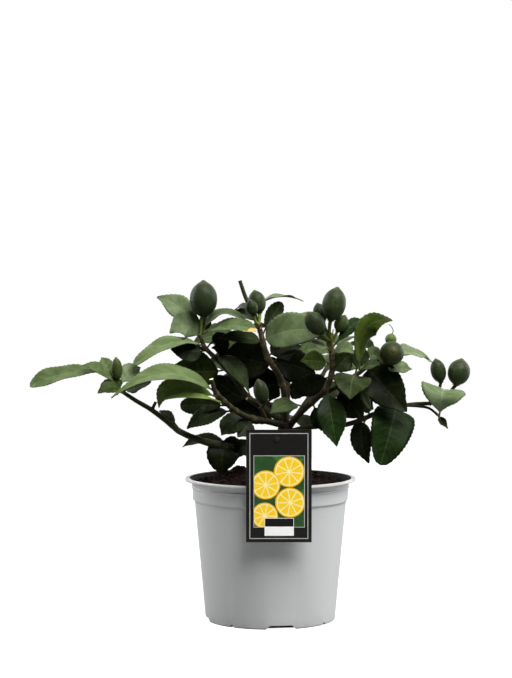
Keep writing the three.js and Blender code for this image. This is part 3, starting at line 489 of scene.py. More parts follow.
def leaf_top_shader():
    shader = Shader("leaf_top")
    midrib, side, margin, phase, sideways, along = leaf_veins(shader)
    shade, yellow, scorch = shader.tint()
    beside = shader.math("MULTIPLY", sideways, 2.2)
    other_leaf = shader.math("MULTIPLY", shader.geometry("Random Per Island"), 40.0)
    streak_place = shader.node("CombineXYZ", X=phase, Y=beside, Z=other_leaf).outputs[0]
    streaks = shader.sway(shader.noise(0.9, 3, place=streak_place), 0.4)
    level = shader.math("ADD", shade, shader.sway(shader.noise(60, 4, 0.65), 0.44))
    level = shader.math("ADD", level, streaks, clamp=True)
    colour = shader.ramp(level, [(0.0, (0.004, 0.0055, 0.002)), (0.25, (0.015, 0.022, 0.007)),
                                 (0.5, (0.043, 0.064, 0.022)), (0.75, (0.105, 0.145, 0.064)),
                                 (1.0, (0.19, 0.24, 0.135))])
    colour = shader.tinge(colour, (0.9, 1.0, 0.3), yellow, 1.0, "MULTIPLY")
    colour = shader.tinge(colour, (0.5, 1.0, 0.4), yellow, -1.0, "MULTIPLY")
    colour = shader.tinge(colour, (0.008, 0.012, 0.004), shader.noise(900, 3), 0.2)
    lighter = shader.mix(shader.math("MULTIPLY_ADD", level, 0.42, 0.05), colour, (0.3, 0.36, 0.15))
    colour = shader.tinge(colour, lighter, side, 0.15)
    colour = shader.tinge(colour, lighter, shader.math("MAXIMUM", midrib, margin), 0.6)
    burn = shader.math("ADD", along, shader.sway(shader.noise(130, 3), 0.3))
    burn = shader.math("ADD", burn, shader.sway(sideways, 0.2))
    burn = shader.ramp(burn, [(0.89, 0.0), (0.93, 1.0)])
    colour = shader.tinge(colour, (0.5, 0.37, 0.13), burn, scorch)
    roughness = shader.ramp(shader.noise(60, 4), [(0.3, 0.34), (0.7, 0.46)])
    swelling = shader.math("SUBTRACT", 1.0, shader.math("MAXIMUM", side, midrib))
    return shader.finish(colour, roughness, 0.045, (swelling, 0.2, 0.0005),
                         (shader.noise(420, 3), 0.4, 0.0007), (shader.noise(2600, 2), 0.25, 0.00012))


def leaf_under_shader():
    shader = Shader("leaf_under")
    midrib, side, margin = leaf_veins(shader)[:3]
    shade, yellow, _ = shader.tint()
    level = shader.math("ADD", shade, shader.sway(shader.noise(60, 3), 0.3), clamp=True)
    # Undersides are paler than tops; the light end of this ramp is also painted light shining through a leaf
    # from behind.
    colour = shader.ramp(level, [(0.0, (0.01, 0.013, 0.005)), (0.4, (0.042, 0.058, 0.021)),
                                 (1.0, (0.24, 0.31, 0.15))])
    colour = shader.tinge(colour, (0.95, 1.0, 0.4), yellow, 1.0, "MULTIPLY")
    veins = shader.math("MAXIMUM", midrib, margin)
    veins = shader.math("MAXIMUM", veins, shader.math("MULTIPLY", side, 0.5))
    colour = shader.tinge(colour, (0.2, 0.26, 0.1), veins, 0.35)
    return shader.finish(colour, 0.62, 0.07, (veins, 0.7, 0.0005), (shader.noise(2200, 2), 0.35, 0.00015))


def fruit_shader():
    shader = Shader("fruit_rind")
    shade, yellow, along = shader.tint()
    level = shader.math("ADD", shade, shader.sway(shader.noise(110, 4, 0.6), 0.7), clamp=True)
    colour = shader.ramp(level, [(0.0, (0.007, 0.01, 0.003)), (0.5, (0.02, 0.031, 0.009)),
                                 (1.0, (0.085, 0.12, 0.045))])
    colour = shader.tinge(colour, (0.14, 0.2, 0.03), yellow, 0.8)
    point = shader.ramp(along, [(0.88, 0.0), (0.99, 1.0)])
    colour = shader.tinge(colour, (0.17, 0.14, 0.05), point, 0.35)
    glands = shader.node("TexVoronoi", Vector=shader.place, Scale=820)
    dots = shader.ramp(glands.outputs["Distance"], [(0.1, 1.0), (0.45, 0.0)])
    colour = shader.tinge(colour, (0.09, 0.14, 0.05), dots, 0.2)
    roughness = shader.ramp(shader.noise(200, 3), [(0.3, 0.4), (0.7, 0.55)])
    return shader.finish(colour, roughness, 0.14, (dots, -0.5, 0.0003), (shader.noise(260, 3), 0.5, 0.001))


def mottled_shader(name, first, second, grain, roughness, specular, bump):
    """A surface of two colours. The grain is (scale, detail), and the bump also has (strength, distance)."""
    shader = Shader(name)
    colour = shader.mix(shader.noise(*grain), first, second)
    scale, detail, strength, distance = bump
    return shader.finish(colour, roughness, specular, (shader.noise(scale, detail), strength, distance))


# ---------------- camera, light and floor

CAMERA_SPOT = (-16.0, -2222.0, 399.0)
CAMERA_PITCH = 2.234
CAMERA_LENS = 106.2
FLOOR = {"half_width": 1100, "front": -750, "back": 1800}
# Lights, in metres and watts: [name, spot, size, power].
LIGHTS = [
    ("key_softbox", (0.62, -0.98, 2.0), (1.4, 1.4), 90),
    ("top_softbox", (-0.2, 0.3, 1.7), (1.1, 1.1), 4),
    ("left_softbox", (-1.5, 0.5, 0.8), (0.9, 1.2), 20),
    ("back_right_softbox", (1.6, 0.6, 0.7), (1.0, 1.2), 17),
]
LIGHT_TARGET = Vector((0, 0, 0.22))


def add_camera():
    data = bpy.data.cameras.new("camera")
    data.lens = CAMERA_LENS
    data.sensor_width = 36.0
    data.clip_end = 30.0
    camera = bpy.data.objects.new("camera", data)
    camera.location = Vector(CAMERA_SPOT) * MM
    camera.rotation_euler = (math.radians(90 - CAMERA_PITCH), 0, 0)
    bpy.context.collection.objects.link(camera)
    bpy.context.scene.camera = camera


def add_lights():
    for name, spot, size, power in LIGHTS:
        data = bpy.data.lights.new(name, "AREA")
        data.shape = "RECTANGLE"
        data.size, data.size_y = size
        data.energy = power
        light = bpy.data.objects.new(name, data)
        light.location = spot
        light.rotation_euler = (LIGHT_TARGET - Vector(spot)).to_track_quat("-Z", "Y").to_euler()
        bpy.context.collection.objects.link(light)


def add_world():
    """Bright paper at the back and dim room in front. What the camera sees of it is plain white."""
    world = bpy.data.worlds.new("studio")
    bpy.context.scene.world = world
    world.use_nodes = True
    nodes = Nodes(world.node_tree)
    direction = nodes.node("TexCoord").outputs["Generated"]
    backward = nodes.node("SeparateXYZ", Vector=direction).outputs["Y"]
    paper = nodes.node("MapRange", Value=backward, From_Min=0.1, From_Max=0.8, To_Min=0.03, To_Max=1.9)
    paper.interpolation_type = "SMOOTHSTEP"
    seen = nodes.node("LightPath").outputs["Is Camera Ray"]
    strength = nodes.node("Mix", Factor=seen, A=paper.outputs["Result"], B=1.0)
    background = world.node_tree.nodes["Background"]
    nodes.put(background.inputs["Strength"], strength.outputs["Result"])
    nodes.put(background.inputs["Color"], (1, 1, 1))


def build_floor():
    shader = Shader("floor")
    shader.put(shader.surface.inputs["Emission Color"], (1.0, 1.0, 1.0))
    seen = shader.node("LightPath").outputs["Is Camera Ray"]
    shader.put(shader.surface.inputs["Emission Strength"], seen)
    half, front, back = FLOOR["half_width"], FLOOR["front"], FLOOR["back"]
    corners = [(-half, front, 0), (half, front, 0), (half, back, 0), (-half, back, 0)]
    floor = make_piece("floor", corners, [(0, 1, 2, 3)], [shader.finish((0.24, 0.24, 0.24), 0.9, 0.0)])


# ---------------- mesh helpers


def make_piece(name, vertices, faces, materials, face_materials=None, sharp=None):
    mesh = bpy.data.meshes.new(name)
    mesh.from_pydata([Vector(vertex) * MM for vertex in vertices], [], faces)
    for material in materials:
        mesh.materials.append(material)
    if face_materials:
        mesh.polygons.foreach_set("material_index", face_materials)
    mesh.polygons.foreach_set("use_smooth", [True] * len(mesh.polygons))
    if sharp is not None:
        mesh.set_sharp_from_angle(angle=math.radians(sharp))
    mesh.validate()
    mesh.update()
    piece = bpy.data.objects.new(name, mesh)
    bpy.context.collection.objects.link(piece)
    return piece


def attach(piece, node):
    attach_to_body(piece, "root")
    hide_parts(node)


class Body:
    """Collects closed lofts into one mesh, with colours and blade coordinates for the shaders."""

    def __init__(self):
        self.vertices, self.faces, self.face_materials = [], [], []
        self.tints, self.coordinates = [], []

    def loft(self, rings, tint=lambda ring: (0, 0, 0), place=lambda ring, side: (0, 0),
             material_of=lambda side: 0, end_material=0):
        start, size = len(self.vertices), len(rings[0])
        last = start + (len(rings) - 1) * size
        for number, ring in enumerate(rings):
            self.vertices += ring
            self.tints += [tint(number)] * size
            self.coordinates += [place(number, side) for side in range(size)]
        for low in range(start, last, size):
            for side in range(size):
                after = (side + 1) % size
                self.faces.append((low + side, low + after, low + size + after, low + size + side))
                self.face_materials.append(material_of(side))
        self.faces += [tuple(reversed(range(start, start + size))), tuple(range(last, last + size))]
        self.face_materials += [end_material, end_material]

    def piece(self, name, materials, sharp=None):
        return make_piece(name, self.vertices, self.faces, materials, self.face_materials, sharp)

    def finish(self, name, materials, node, slot, sharp=None):
        piece = self.piece(name, materials, sharp)
        colours = piece.data.color_attributes.new("tint", "FLOAT_COLOR", "POINT")
        colours.data.foreach_set("color", [value for tint in self.tints for value in (*tint, 1.0)])
        layer = piece.data.uv_layers.new(name="blade")
        for loop in piece.data.loops:
            layer.data[loop.index].uv = self.coordinates[loop.vertex_index]
        attach(piece, node)


def revolve(profile, sides):
    """A closed body turned round +Z from a profile that starts and ends on the axis."""
    vertices, faces, rows, row_of_face = [], [], [], []
    for radius, height in profile:
        turns = [math.tau * side / sides for side in range(sides if radius > 0 else 1)]
        rows.append(range(len(vertices), len(vertices) + len(turns)))
        vertices += [(radius * math.sin(turn), -radius * math.cos(turn), height) for turn in turns]
    for number, (low, high) in enumerate(zip(rows, rows[1:])):
        for side in range(sides):
            after = (side + 1) % sides
            corners = [low[side % len(low)], low[after % len(low)],
                       high[after % len(high)], high[side % len(high)]]
            faces.append(tuple(dict.fromkeys(corners)))
            row_of_face.append(number)
    return vertices, faces, row_of_face


def rounded(points, radius, steps=4):
    """The same outline with each inner corner turned into a short curve."""
    out = [points[0]]
    for before, corner, after in zip(points, points[1:], points[2:]):
        before, corner, after = Vector(before), Vector(corner), Vector(after)
        near = min(radius, (corner - before).length * 0.45, (after - corner).length * 0.45)
        start = corner + (before - corner).normalized() * near
        end = corner + (after - corner).normalized() * near
        out += [tuple(bezier(start, corner, end, step / steps)) for step in range(steps + 1)]
    return [*out, points[-1]]


def bezier(start, pull, end, share):
    return start.lerp(pull, share).lerp(pull.lerp(end, share), share)


def smooth_path(points, per_span=8):
    """A centripetal Catmull-Rom curve through the points."""
    points = [Vector(point) for point in points]
    points = [2 * points[0] - points[1], *points, 2 * points[-1] - points[-2]]
    out = []
    for p0, p1, p2, p3 in zip(points, points[1:], points[2:], points[3:]):
        t1 = math.sqrt((p1 - p0).length)
        t2 = t1 + math.sqrt((p2 - p1).length)
        t3 = t2 + math.sqrt((p3 - p2).length)
        for step in range(per_span):
            t = t1 + (t2 - t1) * step / per_span
            a1 = p0.lerp(p1, t / t1)
            a2 = p1.lerp(p2, (t - t1) / (t2 - t1))
            a3 = p2.lerp(p3, (t - t2) / (t3 - t2))
            b1 = a1.lerp(a2, t / t2)
            b2 = a2.lerp(a3, (t - t1) / (t3 - t1))
            out.append(b1.lerp(b2, (t - t1) / (t2 - t1)))
    return [*out, points[-2]]


def spokes(across, other, sides):
    """The turn and the direction of each side of a ring."""
    turns = [math.tau * side / sides for side in range(sides)]
    return [(turn, across * math.cos(turn) + other * math.sin(turn)) for turn in turns]


def cut_away(piece, cutters):
    for cutter in cutters:
        modifier = piece.modifiers.new("cut", "BOOLEAN")
        modifier.object = cutter
        modifier.operation = "DIFFERENCE"
        modifier.solver = "EXACT"
    bpy.context.view_layer.update()
    evaluated = piece.evaluated_get(bpy.context.evaluated_depsgraph_get())
    mesh = bpy.data.meshes.new_from_object(evaluated)
    piece.modifiers.clear()
    piece.data = mesh
    for cutter in cutters:
        bpy.data.objects.remove(cutter)


# ---------------- pot


def notch_cutter(notch, degrees, material):
    half, top, height = notch["width"] / 2, notch["top"] / 2, notch["height"]
    outline = rounded([(-half, -1), (-half, 0), (-top, height), (top, height), (half, 0), (half, -1)], 1.2)
    turn = Matrix.Rotation(math.radians(degrees), 3, "Z")
    body = Body()
    body.loft([[turn @ Vector((x, -depth, z)) for x, z in outline]
               for depth in (FOOT_RADIUS + 4, FOOT_RADIUS - 12)])
    return body.piece("notch", [material])


def build_pot():
    outside = rounded(POT_OUTSIDE, 0.9)
    vertices, faces, rows = revolve([*outside, *rounded(POT_INSIDE, 0.9)], POT_SIDES)
    lip_row = len(outside) - 1
    inside = mottled_shader("pot_inside", (0.006, 0.006, 0.006), (0.016, 0.014, 0.012), (80, 4), 0.8, 0.08,
                            (900, 3, 0.3, 0.0004))
    plastic = pot_plastic()
    pot = make_piece("nursery_pot", vertices, faces, [plastic, inside], [int(row > lip_row) for row in rows])
    cutters = []
    for turn in range(NOTCH_TURN, NOTCH_TURN + 360, 90):
        cutters.append(notch_cutter(WIDE_NOTCH, turn, plastic))
        cutters.append(notch_cutter(SMALL_NOTCH, turn + 45, plastic))
    cut_away(pot, cutters)
    pot.data.set_sharp_from_angle(angle=math.radians(40))
    attach(pot, "pot")


# ---------------- soil


def soil_top(x, y):
    """The height of the soil, with its heaps, lumps and grain."""
    reach = min(1.0, math.hypot(x, y) / SOIL_EDGE_RADIUS)
    lumps = 1.3 * math.sin(0.19 * x + 1.1) * math.cos(0.23 * y) + 1.2 * math.sin(0.31 * y + 0.17 * x + 2)
    heaps = sum(height * math.exp(-((x - cx) ** 2 + (y - cy) ** 2) / spread ** 2)
                for cx, cy, height, spread in SOIL_HEAPS)
    coarse = noise.fractal(Vector((x, y, 0)) * 0.16, 0.9, 2.1, 4)
    fine = noise.fractal(Vector((x, y, 9)) * 0.6, 0.8, 2.0, 3)
    rise = SOIL_RISE * (1 - reach ** 4) + lumps * (1 - 0.6 * reach)
    return SOIL_EDGE_Z + rise + heaps + 2.0 * coarse + 1.1 * fine


def build_soil():
    sides, rings = 200, 64
    wall = [(0, FLOOR_THICKNESS + GAP), (70.2, FLOOR_THICKNESS + GAP), (82.2, 131.6), (84.0, 134.3)]
    top = [(SOIL_EDGE_RADIUS * (rings - step) / rings, 0) for step in range(rings + 1)]
    vertices, faces, _ = revolve([*wall, *top], sides)
    first_top = 1 + sides * 3
    for number in range(first_top, len(vertices)):
        x, y, _ = vertices[number]
        vertices[number] = (x, y, soil_top(x, y))
    material = soil_shader("soil", (0.002, 0.0015, 0.001), (0.008, 0.004, 0.003), (0.02, 0.011, 0.008))
    attach(make_piece("soil_bed", vertices, faces, [material]), "soil")


def chip_corners(draw, length):
    size = Vector((length, length * draw.uniform(0.3, 0.6), length * draw.uniform(0.15, 0.35))) / 2
    corners = []
    for level in (-1, 1):
        for corner in range(5):
            turn = math.tau * corner / 5 + draw.uniform(-0.3, 0.3)
            reach = draw.uniform(0.7, 1.0)
            corners.append(Vector((size.x * reach * math.cos(turn), size.y * reach * math.sin(turn),
                                   size.z * level * draw.uniform(0.7, 1))))
    return corners


def build_chips():
    draw = random.Random(SEED)
    vertices, faces = [], []
    for _ in range(CHIP_COUNT):
        reach = CHIP_REACH * math.sqrt(draw.random())
        turn = draw.uniform(0, math.tau)
        x, y = reach * math.cos(turn), reach * math.sin(turn)
        length = min(CHIP_LONGEST, CHIP_SHORTEST + draw.expovariate(0.45))
        if reach + length / 2 > CHIP_REACH + 0.5:
            continue
        tilt = Matrix.Rotation(draw.uniform(0, math.tau), 3, "Z")
        tilt = tilt @ Matrix.Rotation(draw.gauss(0, 0.45), 3, "X")
        tilt = tilt @ Matrix.Rotation(draw.gauss(0, 0.4), 3, "Y")
        centre = Vector((x, y, soil_top(x, y) + length * 0.06))
        start = len(vertices)
        vertices += [centre + tilt @ corner for corner in chip_corners(draw, length)]
        faces += [tuple(range(start + 4, start - 1, -1)), tuple(range(start + 5, start + 10))]
        faces += [(start + side, start + (side + 1) % 5, start + 5 + (side + 1) % 5, start + 5 + side)
                  for side in range(5)]
    material = soil_shader("bark_chips", (0.003, 0.002, 0.0015), (0.016, 0.008, 0.006), (0.06, 0.03, 0.02))
    attach(make_piece("soil_chips", vertices, faces, [material], sharp=30), "soil")


# ---------------- card and clip

# Fields on the card: [left, top, width, height], from its upper left corner.
WHOLE = (0, 0, CARD["width"], CARD["height"])
PICTURE = (8.0, 27.6, 54.6, 77.0)
BADGE = (19.7, 94.5, 31.3, 19.0)
BADGE_TOP = (20.2, 95.0, 30.3, 8.6)
FRAME_INSET = 3.7
FRAME_LINE = 0.7
PICTURE_LINE = 0.6
PRINT_LAYER = 0.012
# Slices of fruit [right, down, radius, first segment's turn] and leaves [right, down, length, width, turn].
SLICES = [(46, 45, 16.5, 0.2), (21, 59, 15.5, 0.5), (47, 78, 16, 0.0), (20, 92, 14, 0.3)]
PRINT_LEAVES = [(50, 37, 26, 10, 0.5), (14, 60, 22, 9, 2.6), (40, 78, 24, 9, -0.5), (58, 73, 20, 8, 1.2),
                (12, 98, 26, 10, 0.3), (36, 98, 20, 8, -0.7), (36, 30, 18, 7, -0.3)]
# Printed colours: [darker, lighter, scale of the mottling].
PRINT_COLOURS = {
    "border": ((0.5, 0.53, 0.5), (0.58, 0.6, 0.58), 300),
    "ground": ((0.012, 0.035, 0.012), (0.04, 0.12, 0.03), 90),
    "leaf": ((0.02, 0.1, 0.02), (0.07, 0.25, 0.04), 140),
    "rind": ((0.85, 0.42, 0.006), (0.95, 0.56, 0.012), 200),
    "pith": ((0.95, 0.82, 0.3), (0.98, 0.88, 0.45), 300),
    "flesh": ((0.93, 0.55, 0.008), (0.98, 0.68, 0.03), 260),
    "white": ((0.9, 0.9, 0.89), (0.94, 0.94, 0.93), 300),
    "black": ((0.005, 0.005, 0.005), (0.01, 0.009, 0.009), 300),
    "panel": ((0.008, 0.0075, 0.007), (0.013, 0.012, 0.011), 300),
}


def card_point(right, down):
    """A place on the card, from its upper left corner."""
    return (CARD["x"] - CARD["width"] / 2 + right, CARD["bottom"] + CARD["height"] - down)


def rectangle(left, top, width, height, inset=0.0):
    low = card_point(left + inset, top + height - inset)
    high = card_point(left + width - inset, top + inset)
    return [low, (high[0], low[1]), high, (low[0], high[1])]


def polar_outline(right, down, corners):
    """The corners are [reach, turn] from a place on the card."""
    cx, cz = card_point(right, down)
    return [(cx + reach * math.cos(turn), cz + reach * math.sin(turn)) for reach, turn in corners]


def disc(right, down, radius):
    return polar_outline(right, down, [(radius, math.tau * step / 40) for step in range(40)])


def wedge(right, down, radius, middle):
    """One juicy segment of a slice."""
    rim = [(radius * 0.83, middle + 0.3 * step / 4) for step in range(-4, 5)]
    return polar_outline(right, down, [(radius * 0.1, middle), *rim])


def leaf_motif(right, down, length, width, turn):
    cx, cz = card_point(right, down)
    out = []
    for side in (-1, 1):
        for step in range(12):
            share = (step + 1) / 12 if side < 0 else 1 - (step + 1) / 12
            x, z = length * (share - 0.5), side * width / 2 * math.sin(math.pi * share ** 0.8)
            out.append((cx + x * math.cos(turn) - z * math.sin(turn),
                        cz + x * math.sin(turn) + z * math.cos(turn)))
    return out


def clip_outline(outline, low, high):
    """Keeps the part of a flat outline that lies between two corners."""
    for axis, limit, sign in ((0, low[0], 1), (0, high[0], -1), (1, low[1], 1), (1, high[1], -1)):
        kept = []
        for here, after in zip(outline, outline[1:] + outline[:1]):
            inside, stays = sign * (here[axis] - limit) >= 0, sign * (after[axis] - limit) >= 0
            if inside:
                kept.append(here)
            if inside != stays:
                share = (limit - here[axis]) / (after[axis] - here[axis])
                kept.append(tuple(a + (b - a) * share for a, b in zip(here, after)))
        outline = kept
    return outline


def build_print():
    bump = (1500, 2, 0.06, 0.0001)
    materials = [mottled_shader("print_" + name, first, second, (scale, 3), 0.35, 0.25, bump)
                 for name, (first, second, scale) in PRINT_COLOURS.items()]
    border, ground, green, rind, pith, flesh, white, black, panel = range(len(materials))
    window = rectangle(*PICTURE, PICTURE_LINE)
    body = Body()

    def add(outline, layer, material):
        """A thin shape that stands on the card's front, each layer a hair above the last."""
        if len(outline) > 2:
            rings = [[(x, depth, z) for x, z in outline]
                     for depth in (CARD_FRONT + 0.01, CARD_FRONT - PRINT_LAYER * layer)]
            body.loft(rings, material_of=lambda side: material, end_material=material)

    def add_inside(outline, layer, material):
        add(clip_outline(outline, window[0], window[2]), layer, material)

    add(rectangle(*WHOLE, FRAME_INSET), 1, border)
    add(rectangle(*WHOLE, FRAME_INSET + FRAME_LINE), 2, panel)
    add(rectangle(*PICTURE), 3, border)
    add(window, 4, ground)
    for leaf in PRINT_LEAVES:
        add_inside(leaf_motif(*leaf), 5, green)
    for number, (right, down, radius, first) in enumerate(SLICES):
        layer = 6 + 3 * number
        add_inside(disc(right, down, radius), layer, rind)
        add_inside(disc(right, down, radius * 0.91), layer + 1, pith)
        for segment in range(9):
            add_inside(wedge(right, down, radius, first + math.tau * segment / 9), layer + 2, flesh)
    add(rectangle(*BADGE), 19, white)
    add(rectangle(*BADGE_TOP), 20, black)
    attach(body.piece("card_print", materials, sharp=30), "card")


def hole_ring(radius, depth):
    """A ring round the card's hole."""
    turns = [math.tau * side / 32 for side in range(32)]
    return [(CARD_HOLE["x"] + radius * math.cos(turn), depth, CARD_HOLE["z"] + radius * math.sin(turn))
            for turn in turns]


def build_card():
    material = mottled_shader("card_stock", (0.006, 0.0055, 0.005), (0.011, 0.01, 0.009), (120, 3), 0.38, 0.3,
                              (1400, 2, 0.08, 0.0001))
    # Going round twice rounds every corner. Each takes five points, so twenty go round once.
    outline = rounded(rectangle(*WHOLE) * 2, 0.8)[1:21]
    back = CARD["back"]
    bevel = 0.12
    centre = Vector((CARD["x"], CARD["bottom"] + CARD["height"] / 2))
    rings = []
    for depth, inset in ((back, bevel), (back - bevel, 0), (CARD_FRONT + bevel, 0), (CARD_FRONT, bevel)):
        moved = [Vector(place) + (centre - Vector(place)).normalized() * inset for place in outline]
        rings.append([(place.x, depth, place.y) for place in moved])
    body = Body()
    body.loft(rings)
    card = body.piece("picture_card", [material])
    hole = Body()
    hole.loft([hole_ring(CARD_HOLE["radius"], depth) for depth in (back + 1, CARD_FRONT - 1)])
    cut_away(card, [hole.piece("hole", [material])])
    card.data.set_sharp_from_angle(angle=math.radians(35))
    attach(card, "card")


def build_clip():
    material = mottled_shader("clip_plastic", (0.008, 0.008, 0.008), (0.02, 0.019, 0.018), (260, 3), 0.6, 0.1,
                              (1800, 2, 0.2, 0.00015))
    back, thick, inner = CARD["back"] + GAP, CLIP["thickness"], CLIP["inner"]
    foot, inside_foot, top, bridge = CLIP["foot"], CLIP["inside_foot"], CLIP["top"], RIM_Z + GAP
    bevel = 0.4
    outline = rounded([
        (back + thick / 2, foot), (back, foot + bevel), (back, top - bevel), (back + thick / 2, top),
        (back + thick, top - bevel), (back + thick, bridge + thick), (inner, bridge + thick),
        (inner, inside_foot), (inner - thick, inside_foot), (inner - thick, bridge), (back + thick, bridge),
        (back + thick, foot + bevel), (back + thick / 2, foot),
    ], 0.35, 3)[:-1]
    half = CLIP["width"] / 2
    body = Body()
    body.loft([[(CARD["x"] + side, y, z) for y, z in outline]
               for side in (-half, -half + 0.2, half - 0.2, half)])
    # The rivet through the hole: its shank, and its head in front of the card.
    shank, head, seat = CARD_HOLE["radius"] - GAP - 0.1, CARD_HOLE["radius"] + 0.9, CARD_FRONT - GAP
    body.loft([hole_ring(shank, back + 0.6), hole_ring(shank, seat), hole_ring(head, seat),
               hole_ring(head, seat - 0.5), hole_ring(head - 0.5, seat - 0.8)])
    attach(body.piece("rim_clip", [material], sharp=35), "card_clip")


# ---------------- trunk and stems


def parts_of(shoot, kind):
    return [part for part in shoot if isinstance(part, kind)]


def add_tube(body, path, radius_at, tint_at=lambda share, centre: (0, 0, 0), sides=14, end_material=0):
    """A round tube along a path. radius_at and tint_at take the share of its length and the place."""
    lengths = [0.0]
    for here, after in zip(path, path[1:]):
        lengths.append(lengths[-1] + (after - here).length)
    shares = [length / lengths[-1] for length in lengths]
    across = None
    rings = []
    for number, (share, centre) in enumerate(zip(shares, path)):
        forward = (path[min(number + 1, len(path) - 1)] - path[max(number - 1, 0)]).normalized()
        across = (across or forward.orthogonal()).cross(forward).cross(forward) * -1
        across = (across - forward * across.dot(forward)).normalized()
        ring = []
        for _, out in spokes(across, forward.cross(across), sides):
            radius = radius_at(share, centre)
            radius *= 1 + 0.07 * noise.noise((centre + out * radius) * 0.35)
            ring.append(centre + out * radius)
        rings.append(ring)
    body.loft(rings, lambda ring: tint_at(shares[ring], path[ring]), end_material=end_material)


def nearness(centre, knots, spread):
    """How near a place is to each knot: 1 at the knot, and close to 0 beyond twice the spread."""
    return [math.exp(-((centre - Vector(knot)).length / spread) ** 2) for knot in knots]


def build_trunk(bark):
    def radius_at(share, centre):
        knuckles = sum(nearness(centre, TRUNK_KNOTS, 9))
        return TRUNK.base + (TRUNK.tip - TRUNK.base) * share + 0.8 * knuckles

    body = Body()
    add_tube(body, smooth_path(TRUNK.points, 14), radius_at, sides=24)
    body.finish("trunk_bark", [bark], "trunk", "bark")


def add_stem(body, stem, knots):
    def radius_at(share, centre):
        swelling = min(1.0, sum(nearness(centre, knots, KNOT_SPREAD)))
        return stem.base + (stem.tip - stem.base) * share + 0.5 * swelling * min(1.0, stem.base / 2.5)

    def tint_at(share, centre):
        knot_near = 0.6 * max(nearness(centre, knots, KNOT_SPREAD))
        return (min(1.0, stem.green + 0.45 * share), max(0.0, stem.green - 0.75) * 1.6, knot_near)

    add_tube(body, smooth_path(stem.points), radius_at, tint_at, end_material=1)


def add_calyx(body, fruit):
    """The five-lobed cup that the fruit sits in."""
    seat = Vector(fruit.seat)
    axis = (Vector(fruit.nipple) - seat).normalized()
    across = axis.orthogonal().normalized()
    cup = 1.4 + 0.12 * fruit.width
    profile = [(0.9, -1.6), (1.5, -1.0), (0.75 * cup, -0.35), (cup, 0.35), (0.8 * cup, 0.1), (0.5, -0.2)]
    rings = []
    for radius, height in profile:
        ring = []
        for turn, out in spokes(across, axis.cross(across), 30):
            lobe = math.cos(5 * turn) * radius / cup
            ring.append(seat + out * radius * (1 + 0.2 * lobe) + axis * (height + 0.25 * lobe))
        rings.append(ring)
    body.loft(rings, lambda ring: (0.75, 0.15, 0))


def add_scales(body, cluster, draw):
    """Brown scales round the foot of a cluster of stalks. A large cluster also has bare green stalks."""
    axis = Vector(cluster.axis).normalized()
    across = axis.orthogonal().normalized()
    other = axis.cross(across)
    for number in range(cluster.count):
        turn = math.tau * number * 0.618
        out = across * math.cos(turn) + other * math.sin(turn)
        foot = Vector(cluster.centre) + axis * (cluster.length * 4.2 * number / cluster.count) + out * 2.6
        bare = cluster.count > 20 and number % 7 == 6
        outward, upward = (0.55, 2.0) if bare else (draw.uniform(0.35, 0.75), draw.uniform(0.3, 0.8))
        tip = foot + (out * outward + axis * upward) * cluster.length
        side = out.cross(axis).normalized() * (0.9 if bare else draw.uniform(1.0, 1.7))
        thick = axis.cross(side).normalized() * (0.8 if bare else 0.4)
        tint = (0.7, 0.6, 0) if bare else (0, 0, draw.uniform(2, 4))
        rings = []
        for share, width in ((0.0, 1.0), (0.5, 1.1), (1.0, 0.2)):
            here = foot.lerp(tip, share)
            rings.append([here + side * width, here + thick, here - side * width, here - thick])
        body.loft(rings, lambda ring: tint)


def build_stems(name, shoot, materials):
    body = Body()
    stems = parts_of(shoot, Stem)
    knots = [leaf.root for leaf in parts_of(shoot, Leaf)]
    for stem in stems:
        add_stem(body, stem, knots)
    for fruit in FRUITS.values():
        if min((Vector(fruit.seat) - Vector(stem.points[-1])).length for stem in stems) < 1.5:
            add_calyx(body, fruit)
    draw = random.Random(SEED + 1)
    for cluster in parts_of(shoot, Scales):
        add_scales(body, cluster, draw)
    body.finish("stems_" + name, materials, "shoot_" + name, "bark", sharp=50)


# ---------------- leaves


def leaf_outline(share, shape):
    """The blade's width at a share of its length, from 0 to 1."""
    skew, fullness, _ = shape
    if not 0 < share < 1:
        return 0.0
    pointed = 1 - 0.3 * max(0.0, share - 0.75) / 0.25 if fullness > 0.5 else 1.0
    return math.sin(math.pi * share ** skew) ** fullness * pointed


